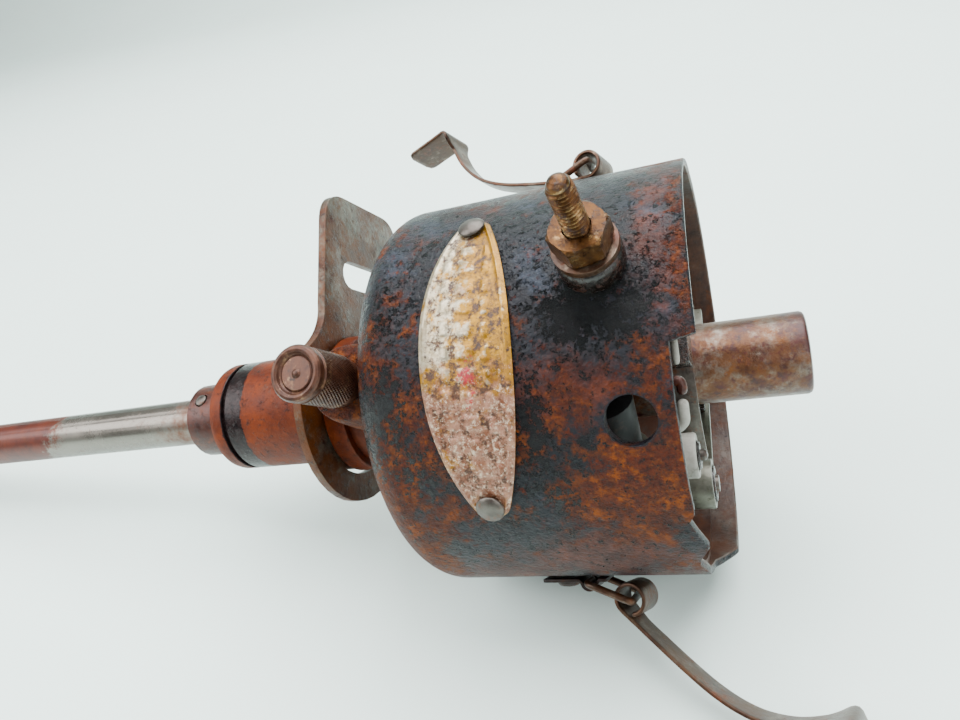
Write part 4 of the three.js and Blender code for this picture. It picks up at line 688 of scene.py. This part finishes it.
def boss_points(f):
    """Cast boss of the grease cup: rings round the cup's line that flare where they meet the bowl's floor.

    out = 7.4 + 2 k + 10 k exp(-gap / 3), k from 0 at the top to 1 below, gap = distance to the floor,
    found in a few steps because the gap shrinks as the ring widens.
    """
    origin, x, up, side = fitting(-f.cup_along, f.cup_clock)
    k = np.linspace(0, 1, 40)[None]
    t = np.linspace(0, 2 * np.pi, 128, endpoint=False)[:, None]
    floor = bpy.context.scene.distributor_bowl.depth
    plain_out = BOSS_RADIUS + 2.0 * k ** 0.7 + 0 * t
    out = plain_out
    for _ in range(6):
        gap = np.clip(f.cup_along - floor - out * np.cos(t), 0, None)
        out = plain_out + 10.0 * k ** 0.6 * np.exp(-gap / 3.0)
    out = out - 0.35 * k * (0.5 + 0.5 * ripple(t, 3 * k, 44))
    height = BOSS_TOP - BOSS_HEIGHT * k ** 1.3 + 0 * t
    along = np.minimum(out * np.cos(t), f.cup_along - 61.5)
    ring = origin + MM * (along[..., None] * x + (out * np.sin(t))[..., None] * side + height[..., None] * up)
    sweep = BOSS_BORE * (np.cos(t)[..., None] * x + np.sin(t)[..., None] * side)
    return np.concatenate([origin + MM * (sweep + BOSS_TOP * up), ring,
                           origin + MM * (sweep + (BOSS_TOP - BOSS_HEIGHT) * up)], axis=1)


class DISTRIBUTOR_OT_bowl(bpy.types.Operator):
    """Cast bowl with its broken rim, neck, shank and the boss of the grease cup"""

    bl_idname = "distributor.bowl"
    bl_label = "Bowl and shank"

    def execute(self, context):
        s, f = context.scene.distributor_bowl, context.scene.distributor_fittings
        points, _, grown = bowl_points(s)
        mesh = grid("bowl", points, round_v=True, zones=grown)
        finishes = [material("enamelled_iron"), material("rusted_iron"), material("inside_iron")]
        for m in finishes:
            mesh.materials.append(m)
        centres = np.zeros(len(mesh.polygons) * 3)
        mesh.polygons.foreach_get("center", centres)
        offset = centres.reshape(-1, 3) - RIM_CENTRE
        along = offset @ SHAFT_AXIS / MM
        out = np.linalg.norm(offset - np.outer(offset @ SHAFT_AXIS, SHAFT_AXIS), axis=1) / MM
        neck = (along < -s.depth - 0.2)
        inside = ~neck & (out < s.radius - s.seat_wall + 0.2) & (along > -s.depth + 3.5)
        kinds = np.where(neck, 1, np.where(inside, 2, 0)).astype(np.int32)
        mesh.polygons.foreach_set("material_index", kinds)
        piece = keep("bowl", mesh, "housing", finishes, "housing", 30)
        with_holes(piece, [cylinder_cutter(f.hole_along, f.hole_clock, 4.3),
                           cylinder_cutter(f.stud_along, f.stud_clock, 4.2)])
        boss = boss_points(f)
        rusty = {"rust": np.full(boss.shape[:2], 0.75)}
        keep("cup_boss", grid("cup_boss", boss, zones=rusty, caps=True), "housing",
             material("enamelled_iron"))
        for name in ("upper_bushing", "lower_bushing"):
            refined(name, material("terminal_bronze"), "housing")
        return {"FINISHED"}


# ---------------------------------------------------------------- shaft, collar and stub
class DISTRIBUTOR_OT_shaft(bpy.types.Operator):
    """Drive shaft, thrust collar and the stub that carries the rotor"""

    bl_idname = "distributor.shaft"
    bl_label = "Shaft and stub"

    def execute(self, context):
        refined("drive_shaft", material("ground_steel"), "drive", 0.2, 25)
        refined("thrust_collar", material("collar_steel"), "drive", 0.3)
        refined("collar_pin", material("bare_steel"), "drive", 0.15)
        refined("thrust_washer", material("black_fibre"), "drive", 0.1)
        refined("cam_sleeve", material("mottled_steel"), "cam", 0.2, 25)
        refined("oil_wick", material("felt"), "cam", 0.2)
        for name in ("governor_plate", "weight_pin_1", "weight_pin_2", "spring_peg_1", "spring_peg_2",
                     "governor_spring_1", "governor_spring_2"):
            refined(name, material("bare_steel"), "drive", 0.2)
        refined("governor_weight_1", material("bare_steel"), "weight_1", 0.4)
        refined("governor_weight_2", material("bare_steel"), "weight_2", 0.4)
        return {"FINISHED"}


# ---------------------------------------------------------------- nameplate
def leaf_width(share):
    """Half width of the leaf-shaped plate, mm, where share runs from 0 in the middle to 1 at a tip."""
    leaf = 5.0 + 12.4 * (1 - share ** 2.2)
    tip = np.sqrt(np.clip(1 - np.clip((share - 0.93) / 0.07, 0, 1) ** 2, 0.004, 1))
    return np.maximum(0.25, leaf * tip) / 2


PLATE_UNDERSIDE = 42.8      # out from the shaft, mm
PLATE_SHEET = 0.2           # at its thin edge, mm
PLATE_HALF_ARC = 40.5       # degrees


def nameplate_points(f):
    """Curved leaf: at each clock angle a closed cross-section, flat below and embossed on top.

    height = 0.4 + 0.3 x border ridge + 0.26 x raised bands, where the border follows the edge and
    the bands run along the plate at three places across it.
    """
    turn = np.linspace(-1, 1, 220)[:, None]
    across = np.linspace(-1, 1, 60)[None]
    share = np.abs(turn)
    half = leaf_width(share)
    from_edge = half * (1 - np.abs(across))
    ends = (1 - share) * 30.0
    inset = np.minimum(from_edge, ends)
    border = np.exp(-((inset - 0.95) / 0.32) ** 2)
    place = across * half
    bands = sum(np.exp(-((place - c) / w) ** 6) for c, w in ((-3.6, 0.8), (0.2, 1.5), (4.0, 0.7)))
    broken = np.clip(1.6 * np.sin(turn * 46 + 2 * across) + 1.1, 0, 1)
    bands = bands * broken * np.clip((inset - 1.8) / 0.5, 0, 1) * (share < 0.74)
    edge = np.clip(inset / 0.35, 0, 1) ** 0.5
    top = PLATE_UNDERSIDE + PLATE_SHEET + 0.2 * edge + 0.30 * border + 0.26 * np.clip(bands, 0, 1)
    clock = f.plate_clock + PLATE_HALF_ARC * turn + 0 * across
    upper = at(-f.plate_along + place, top, clock)
    lower = at(-f.plate_along + place[:, ::-1], PLATE_UNDERSIDE, clock)
    points = np.concatenate([upper, lower], axis=1)
    level = (turn + 0 * across + 1) / 2
    low_half = np.clip((0.52 - level) / 0.16, 0, 1)
    raised = np.clip(border + bands, 0, 1)
    zones = {"lower": low_half,
             "paint": np.exp(-((level - 0.44) / 0.07) ** 2 - ((across - 0.05) / 0.22) ** 2),
             # painted highlight over the silvery plating: upper half towards one side, and the raised border
             # and bands
             "silver": (1 - low_half) * np.clip(0.5 - 0.9 * across, 0, 1) + 0.4 * raised,
             "dirt": np.clip(inset / 0.8, 0, 1) * (1 - raised)}
    zones = {k: np.concatenate([v + 0 * place, 0 * place], axis=1) for k, v in zones.items()}
    return points.transpose(1, 0, 2), {k: v.T for k, v in zones.items()}


class DISTRIBUTOR_OT_nameplate(bpy.types.Operator):
    """Curved brass plate with a raised border and plain bands, and its two rivets"""

    bl_idname = "distributor.nameplate"
    bl_label = "Nameplate"

    def execute(self, context):
        points, zones = nameplate_points(context.scene.distributor_fittings)
        mesh = grid("nameplate_leaf", points, zones=zones, caps=True)
        keep("nameplate_leaf", mesh, "housing", material("plate_brass"), "nameplate", 50)
        for name in ("nameplate_rivet_upper", "nameplate_rivet_lower"):
            refined(name, material("bare_steel"), "housing", 0.2, 60)
        return {"FINISHED"}


# ---------------------------------------------------------------- terminal
def loop_outline(corners, spacing=0.35):
    """A closed outline of [out, height] corners cut into short steps."""
    corners = np.asarray(corners, float)
    return stepped(np.vstack([corners, corners[:1]]), spacing)[:-1]


STUD_TIP = 65.5             # out from the shaft, mm
STUD_RADIUS = 2.3
NUT_FLATS = 9.2


class DISTRIBUTOR_OT_terminal(bpy.types.Operator):
    """Threaded stud, six-sided nut, split washer and insulators"""

    bl_idname = "distributor.terminal"
    bl_label = "Terminal"

    def execute(self, context):
        f = context.scene.distributor_fittings
        place = fitting(-f.stud_along, f.stud_clock)
        # stud: out = radius - depth x (1 + cos(2 pi (height / pitch) + t)) / 2, a single-start thread
        tip, full = STUD_TIP, STUD_RADIUS
        profile = stepped([(0, 36.0), (full, 36.0), (full, tip - 2.0), (1.6, tip - 0.7), (1.0, tip - 0.3),
                           (0, tip - 0.1)],
                          0.07)

        def threaded(t, out, height):
            groove = 0.5 + 0.5 * np.cos(2 * np.pi * height / f.thread_pitch + t)
            plain = np.clip((height - 44.5) / 0.6, 0, 1) * np.clip((tip - 1.0 - height) / 1.0, 0, 1)
            worn = 0.08 * (0.5 + 0.5 * ripple(t, height * 2.0, 21))
            return np.clip(out - (f.thread_depth * groove ** 0.8 * plain + worn) * (out > 1.0), 0, None)

        points = upright_turning(*place, profile, 48, threaded)
        height = profile[None, :, 1] + 0 * np.zeros((48, 1))
        turn = np.linspace(0, 2 * np.pi, 48, endpoint=False)[:, None]
        crest = 0.5 - 0.5 * np.cos(2 * np.pi * height / f.thread_pitch + turn)
        stud = grid("stud_thread", points, zones={"crest": crest})
        keep("stud_thread", stud, "housing", material("terminal_bronze"), "terminal_stud",
             70)
        # nut: out is the hexagon's, limited near both faces by a cone that takes off its corners
        low, high = frame_heights("terminal_nut", place)
        flats = NUT_FLATS
        nut = loop_outline([(2.5, low), (flats * 0.58, low), (flats * 0.58, high), (2.5, high)], 0.25)

        def hexagon(t, out, height):
            side = (np.degrees(t) + 12) % 60 - 30
            hexa = flats / 2 / np.cos(np.radians(side))
            cone = flats / 2 + 0.12 + 1.5 * np.minimum(height - low, high - height)
            full = np.minimum(hexa, cone) - 0.06 * (0.5 + 0.5 * ripple(t, height * 1.4, 31))
            return np.where(out > 2.6, full * np.clip(out / (flats * 0.58), 0, 1), out)

        mesh = grid("nut_faces", upright_turning(*place, nut, 180, hexagon), round_v=True,
                    zones={"crest": np.full((180, len(nut)), 0.35)})
        keep("nut_faces", mesh, "housing", material("terminal_bronze"), "terminal_nut", 28)
        refined("terminal_lock_washer", material("spring_steel"), "housing", 0.2)
        refined("terminal_insulator_outer", material("black_fibre"), "housing", 0.5)
        refined("terminal_insulator_inner", material("black_fibre"), "housing", 0.3)
        return {"FINISHED"}


def frame_heights(name, place):
    """Lowest and highest reach of a frame node along a fitting's upward line, mm."""
    origin, _, up, _ = place
    data = frame["nodes"][name].data
    co = np.zeros(len(data.vertices) * 3)
    data.vertices.foreach_get("co", co)
    reach = (co.reshape(-1, 3) - origin) @ up / MM
    return reach.min(), reach.max()


# ---------------------------------------------------------------- grease cup
CUP_RADIUS = 5.5


class DISTRIBUTOR_OT_grease_cup(bpy.types.Operator):
    """Knurled screw cap of the grease cup, and its stem"""

    bl_idname = "distributor.grease_cup"
    bl_label = "Grease cup"

    def execute(self, context):
        f = context.scene.distributor_fittings
        place = fitting(-f.cup_along, f.cup_clock)
        low, high = frame_heights("grease_cup_cap", place)
        radius = CUP_RADIUS
        corners = [(4.4, low), (radius - 0.4, low), (radius, low + 0.5), (radius, high - 2.6),
                   (radius - 0.35, high - 2.4), (radius - 0.35, high - 2.1), (radius, high - 1.8),
                   (radius, high - 0.7), (radius - 0.35, high - 0.15), (radius - 0.9, high),
                   (radius - 1.4, high - 0.15), (radius - 1.7, high - 0.7), (radius - 2.0, high - 1.0),
                   (radius - 2.3, high - 0.75), (0.9, high - 0.72), (0.7, high - 0.5),
                   (0.3, high - 0.35), (0.0, high - 0.32)]
        lid = stepped(corners, 0.16)

        def knurled(t, out, height):
            """Crossed ridges: depth x |sin| of two helices that wind opposite ways."""
            one = np.abs(np.sin(0.5 * f.knurls * t + height * 2.6))
            two = np.abs(np.sin(0.5 * f.knurls * t - height * 2.6))
            band = np.clip((height - low - 0.5) / 0.4, 0, 1) * np.clip((high - 2.7 - height) / 0.3, 0, 1)
            return out - f.knurl_depth * (1 - 0.65 * one - 0.35 * two) * band * (out > radius - 0.3)

        points = upright_turning(*place, lid, 432, knurled)
        under = stepped([(0.0, high - 1.6), (4.4, high - 1.6), (4.4, low)], 1.0)
        inner = upright_turning(*place, under, 432)
        mesh = grid("cup_cap_knurled", np.concatenate([points[:, ::-1], inner], axis=1))
        keep("cup_cap_knurled", mesh, "grease_cap", material("cup_bronze"), "grease_cup_cap",
             60)
        refined("grease_cup_stem", material("cup_bronze"), "housing", 0.25)
        return {"FINISHED"}


# ---------------------------------------------------------------- cap clips
EYE_RADIUS = 3.0
CLIP_ARM = [(0, EYE_RADIUS), (5, 2.4), (10, 1.4), (16, 0.1), (22, -1.5), (27, -3.6), (31, -6.4), (34.5, -10.6),
            (37, -16)]
EYE_STEPS, ARM_STEPS = 60, 70


def clip_line():
    """Middle line of a clip in its own plane: rolled eye, curved arm, ridge and lip."""
    t = np.radians(np.linspace(395, 96, EYE_STEPS))
    eye = EYE_RADIUS * np.stack([np.cos(t), np.sin(t)], axis=1)
    arm = smooth_line([*CLIP_ARM, (37.7, -18.6)], ARM_STEPS)
    ridge = [(37.95, -19.3), (38.3, -19.62), (38.9, -19.65), (39.8, -19.35)]
    lip = [(42.0, -18.65), (46.0, -17.5), (50.2, -16.25)]
    return np.vstack([eye, arm, ridge, stepped([ridge[-1], *lip], 0.7)[1:]])


def clip_points(clock, opening, skew, hinge, sheet):
    """Sheet carried along the clip's line: a flat oval section, 0.9 mm thick, whose half width w(s)
    narrows from the eye to the arm and flares again into the hook, with rounded ends."""
    line = clip_line()
    s = np.r_[0, np.cumsum(np.linalg.norm(np.diff(line, axis=0), axis=1))]
    total = s[-1]
    eye_end = s[EYE_STEPS]
    ridge = s[EYE_STEPS + ARM_STEPS]
    half = np.interp(s, [0, eye_end + 1, eye_end + 5, ridge - 4.5, ridge - 1.0, total],
                     [4, 4, 3.1, 3.1, 5.25, 5.25])
    ends = np.minimum(s, total - s)
    corner = np.where(s > total / 2, 2.2, 0.5)
    rounded = corner - np.sqrt(np.clip(corner ** 2 - (corner - ends) ** 2, 0, None))
    half = half - np.where(ends < corner, rounded, 0)
    along = np.gradient(line, axis=0)
    along /= np.linalg.norm(along, axis=1, keepdims=True)
    normal = np.stack([-along[:, 1], along[:, 0]], axis=1)
    a = np.linspace(0, 2 * np.pi, 36, endpoint=False)[:, None]
    thick = sheet / 2 * np.sign(np.cos(a)) * np.abs(np.cos(a)) ** 0.45
    across = np.sign(np.sin(a)) * np.abs(np.sin(a)) ** 0.16
    thick = thick * np.ones_like(s)[None] * np.clip(ends / 0.2, 0.25, 1)[None]
    flat = line[None] + thick[..., None] * normal[None]
    wide = across * half[None]
    o, k = np.radians(opening), np.radians(skew)
    x, up = SHAFT_AXIS, outward(clock)
    side = np.cross(x, up)
    spun = np.stack([flat[..., 0] * np.cos(o) - flat[..., 1] * np.sin(o),
                     flat[..., 0] * np.sin(o) + flat[..., 1] * np.cos(o), wide], axis=-1)
    turned = np.stack([spun[..., 0] * np.cos(k) + spun[..., 2] * np.sin(k), spun[..., 1],
                       -spun[..., 0] * np.sin(k) + spun[..., 2] * np.cos(k)], axis=-1)
    return np.array(hinge) + MM * (turned[..., :1] * x + turned[..., 1:2] * up + turned[..., 2:] * side)


BAIL_KNUCKLE = (-29.6, 43.6)    # along and out of its inner bar, mm
BAIL_HALF_WIDTH = 6.2
BAIL_WIRE = 0.78                # radius


def bail_points(clock, hinge):
    """Round wire: inner bar under the bracket's hump, two legs, outer bar through the clip's eye."""
    up = outward(clock)
    side = np.cross(SHAFT_AXIS, up)
    offset = np.array(hinge) - RIM_CENTRE
    eye = np.array([offset @ SHAFT_AXIS, offset @ up]) / MM
    inner, half = np.array(BAIL_KNUCKLE), BAIL_HALF_WIDTH
    legs = [(inner, -0.6), (inner, -half + 1.0), (inner * 0.9 + eye * 0.1, -half),
            (inner * 0.5 + eye * 0.5, -half),
            (inner * 0.1 + eye * 0.9, -half), (eye, -half + 1.0), (eye, 0), (eye, half - 1.0),
            (inner * 0.1 + eye * 0.9, half), (inner * 0.5 + eye * 0.5, half), (inner * 0.9 + eye * 0.1, half),
            (inner, half - 1.0), (inner, 0.6)]
    line = np.array([[p[0], p[1], z] for p, z in legs])
    path = smooth_line(line, 110)
    world = RIM_CENTRE + MM * (path[:, :1] * SHAFT_AXIS + path[:, 1:2] * up + path[:, 2:] * side)
    return tube_along(world, BAIL_WIRE * MM)


class DISTRIBUTOR_OT_clips(bpy.types.Operator):
    """The two sprung cap clips with their wire bails, brackets and rivets"""

    bl_idname = "distributor.clips"
    bl_label = "Cap clips"

    def execute(self, context):
        c = context.scene.distributor_clips
        for name, clock, opening, skew in (("upper", c.upper_clock, c.upper_open, -c.skew),
                                           ("lower", c.lower_clock, c.lower_open, c.skew)):
            hinge = JOINTS[f"{name}_clip_swing"]["pos_m"]
            strip = grid(f"{name}_clip_strip", clip_points(clock, opening, skew, hinge, c.sheet), caps=True)
            keep(f"{name}_clip_strip", strip, f"{name}_clip", material("spring_steel"), f"{name}_clip",
                 50)
            wire = grid(f"{name}_bail_wire", bail_points(clock, hinge), caps=True)
            keep(f"{name}_bail_wire", wire, "housing", material("spring_steel"), f"{name}_clip_bail",
                 50)
            # brackets and rivets take steel painted nearly black as painted shade
            refined(f"{name}_clip_bracket", material("steel_in_painted_shade"), "housing", 0.2)
            refined(f"{name}_clip_rivet", material("steel_in_painted_shade"), "housing", 0.2, 60)
        return {"FINISHED"}


# ---------------------------------------------------------------- advance plate
class DISTRIBUTOR_OT_advance_plate(bpy.types.Operator):
    """Pressed advance plate behind the bowl and the ring that holds it"""

    bl_idname = "distributor.advance_plate"
    bl_label = "Advance plate"

    def execute(self, context):
        refined("advance_plate", material("rusty_steel"), "advance_plate", 0.6, 30)
        refined("plate_retaining_ring", material("rusty_steel"), "housing", 0.3)
        return {"FINISHED"}


# ---------------------------------------------------------------- breaker parts
class DISTRIBUTOR_OT_breaker(bpy.types.Operator):
    """Breaker plate, arm, contacts, condenser and leads inside the bowl"""

    bl_idname = "distributor.breaker"
    bl_label = "Breaker parts"

    def execute(self, context):
        groups = {
            "inside_iron": ["breaker_plate"],
            "bare_steel": ["breaker_plate_screw_1", "breaker_plate_screw_2", "breaker_plate_screw_3",
                           "breaker_pivot_post", "contact_lock_screw", "condenser_screw", "fixed_contact",
                           "breaker_spring"],
            "zinc_plate": ["contact_bracket", "condenser_strap"],
            "black_can": ["condenser"],
            "black_fibre": ["spring_post"],
            "lead_rubber": ["primary_lead", "condenser_lead"],
        }
        for finish_name, names in groups.items():
            for name in names:
                refined(name, material(finish_name), "housing", 0.2)
        refined("breaker_arm", material("zinc_plate"), "breaker", 0.25)
        refined("breaker_arm_bush", material("black_fibre"), "breaker", 0.3)
        refined("rubbing_block", material("black_fibre"), "breaker", 0.3)
        refined("moving_contact", material("bare_steel"), "breaker", 0.2)
        return {"FINISHED"}


# ---------------------------------------------------------------- small things in the mouth
# lead sleeves and tabs that hug the wall: name, finish, radius mm, points of (along, out, clock)
WALL_PIECES = (
    ("lead_strip", "white_sleeve", 0.6, [(-3.9, 38.2, 9.0), (-3.8, 38.3, 5.0), (-3.8, 38.2, 0.5)]),
    ("lead_tab", "collar_steel", 0.9, [(-8.0, 37.4, -3.0), (-4.4, 37.5, -3.4), (-3.6, 37.4, -4.4),
                                       (-3.6, 37.2, -7.2)]),
    ("lead_sleeve", "white_sleeve", 0.95, [(-3.7, 37.3, -8.2), (-3.8, 37.3, -11.0), (-4.0, 37.2, -14.0),
                                           (-5.6, 36.6, -16.5)]),
)
PIN_CLOCK, PIN_OUT = -33.0, 29.5


class DISTRIBUTOR_OT_mouth(bpy.types.Operator):
    """Lead sleeves along the wall and a bushed pin with its pale band"""

    bl_idname = "distributor.mouth"
    bl_label = "Small things in the mouth"

    def execute(self, context):
        for name, finish_name, radius, places in WALL_PIECES:
            path = smooth_line(at(*np.array(places).T), 40)
            shrink = np.sqrt(np.clip(1 - np.linspace(-1, 1, 40) ** 8, 0.05, 1))[None, :, None]
            tube = path[None] + (tube_along(path, radius * MM, 20) - path[None]) * shrink
            keep(name, grid(name, tube, caps=True), "housing", material(finish_name))
        origin = at(-7.6, PIN_OUT, PIN_CLOCK)
        place = (origin, outward(PIN_CLOCK), SHAFT_AXIS, np.cross(outward(PIN_CLOCK), SHAFT_AXIS))
        for name, finish_name, outline in (
                ("pin_post", "bare_steel", [(0, 0), (1.0, 0), (1.0, 5.4), (0.7, 5.8), (0, 5.8)]),
                ("pin_bush", "black_fibre", [(1.2, 0.1), (2.6, 0.1), (2.6, 4.4), (2.3, 4.7), (1.2, 4.7)]),
                ("pin_band", "white_sleeve", [(2.8, 0.2), (3.9, 0.2), (4.1, 0.5), (4.1, 3.9), (3.9, 4.2),
                                              (2.8, 4.2)])):
            closed = outline[0][0] > 0
            rows = loop_outline(outline) if closed else stepped(outline, 0.35)
            mesh = grid(name, upright_turning(*place, rows, 48), round_v=closed)
            keep(name, mesh, "housing", material(finish_name))
        return {"FINISHED"}


# ---------------------------------------------------------------- stage
def floor_finish(tone):
    """Pale painted board: almost even, with a faint broad unevenness and a soft sheen."""
    made, tree, coords = blank_material("pale_painted_board")
    cloud = node(tree, "ShaderNodeTexNoise", {"Vector": coords, "Scale": 9.0, "Detail": 4.0}).outputs[0]
    base = linear(tone)
    colour = node(tree, "ShaderNodeMix", {0: cloud, 6: base, 7: [v * 0.94 for v in base[:3]] + [1.0]},
                  data_type="RGBA").outputs[2]
    shader = node(tree, "ShaderNodeBsdfPrincipled", {"Base Color": colour, "Roughness": 0.55})
    node(tree, "ShaderNodeOutputMaterial", {"Surface": shader.outputs[0]})
    return made


def area_light(name, place, aim, size, power, tone="#FFFFFF"):
    """A soft square light at a place in metres, turned towards a point."""
    data = bpy.data.lights.new(name, "AREA")
    data.size, data.energy, data.color = size, power, linear(tone)[:3]
    light = bpy.data.objects.new(name, data)
    bpy.context.scene.collection.objects.link(light)
    light.location = place
    light.rotation_euler = (Vector(aim) - Vector(place)).to_track_quat("-Z", "Y").to_euler()
    return light


class DISTRIBUTOR_OT_stage(bpy.types.Operator):
    """Pale floor, soft light and the camera"""

    bl_idname = "distributor.stage"
    bl_label = "Stage"

    def execute(self, context):
        s = context.scene.distributor_stage
        # a sheet that lies flat, then curls up behind: y = 0.9 + 0.5 sin a, z = 0.5 - 0.5 cos a, then a wall
        across = np.linspace(-3.0, 3.0, 13)[:, None]
        curl = np.radians(np.linspace(0, 90, 25))
        y = np.r_[-3.0, 0.0, 0.9 + 0.5 * np.sin(curl), 1.4]
        z = np.r_[0.0, 0.0, 0.5 - 0.5 * np.cos(curl), 2.5] - 0.0002
        sheet = np.stack(np.broadcast_arrays(across, y, z), axis=-1)
        mesh = grid("floor", sheet, round_u=False)
        floor = bpy.data.objects.new("floor", mesh)
        mesh.materials.append(floor_finish(s.floor))
        context.scene.collection.objects.link(floor)
        if mesh.polygons[0].normal.z < 0:
            mesh.flip_normals()
        area_light("overhead", (0.15, 0.35, 1.0), (0.1, 0.0, 0.0), 1.2, s.soft_light)
        area_light("window", (-0.7, -0.3, 0.8), (0.05, 0.0, 0.05), 0.9, s.soft_light * 0.45)
        area_light("fill", (0.75, -0.55, 0.55), (0.1, 0.0, 0.04), 0.8, s.soft_light * 0.15)
        world = bpy.data.worlds.new("studio")
        world.use_nodes = True
        world.node_tree.nodes["Background"].inputs[0].default_value = linear("#EEF4F2")
        world.node_tree.nodes["Background"].inputs[1].default_value = 0.5
        context.scene.world = world
        data = bpy.data.cameras.new("camera")
        data.lens, data.sensor_width = s.lens, 36.0
        data.clip_start = 0.01
        camera = bpy.data.objects.new("camera", data)
        context.scene.collection.objects.link(camera)
        basis = Matrix(np.stack([SHAFT_AXIS, -outward(0.0), outward(90.0)], axis=1).tolist())
        turn = (basis @ Euler(s.camera_turn).to_matrix()).to_4x4()
        camera.matrix_world = Matrix.Translation(Vector(at(s.camera_along, s.camera_out, 0.0))) @ turn
        context.scene.camera = camera
        return {"FINISHED"}


# ---------------------------------------------------------------- panel and registration
OPERATORS = (DISTRIBUTOR_OT_stage, DISTRIBUTOR_OT_bowl, DISTRIBUTOR_OT_shaft, DISTRIBUTOR_OT_nameplate,
             DISTRIBUTOR_OT_terminal, DISTRIBUTOR_OT_grease_cup, DISTRIBUTOR_OT_clips,
             DISTRIBUTOR_OT_advance_plate, DISTRIBUTOR_OT_breaker, DISTRIBUTOR_OT_mouth)


class DISTRIBUTOR_PT_panel(bpy.types.Panel):
    """Lists the pieces of the distributor"""

    bl_label = "Distributor"
    bl_idname = "DISTRIBUTOR_PT_panel"
    bl_space_type = "VIEW_3D"
    bl_region_type = "UI"
    bl_category = "Distributor"

    def draw(self, context):
        for operator in OPERATORS:
            self.layout.operator(operator.bl_idname)


SETTINGS = {"distributor_bowl": BowlSettings, "distributor_fittings": FittingSettings,
            "distributor_clips": ClipSettings, "distributor_finishes": FinishSettings,
            "distributor_stage": StageSettings}


def register():
    """Registers settings, operators and the panel."""
    for group in SETTINGS.values():
        bpy.utils.register_class(group)
    for name, group in SETTINGS.items():
        setattr(bpy.types.Scene, name, PointerProperty(type=group))
    for cls in (*OPERATORS, DISTRIBUTOR_PT_panel):
        bpy.utils.register_class(cls)


def unregister():
    """Takes everything away again."""
    for cls in reversed((*OPERATORS, DISTRIBUTOR_PT_panel)):
        bpy.utils.unregister_class(cls)
    for name in SETTINGS:
        delattr(bpy.types.Scene, name)
    for group in reversed(list(SETTINGS.values())):
        bpy.utils.unregister_class(group)


def plain(box):
    """A box's corners as plain lists of numbers."""
    return [[float(v) for v in corner] for corner in box]


def main():
    """Registers the add-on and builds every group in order."""
    register()
    for operator in OPERATORS:
        group, name = operator.bl_idname.split(".")
        getattr(getattr(bpy.ops, group), name)()


if __name__ == "__main__":
    main()
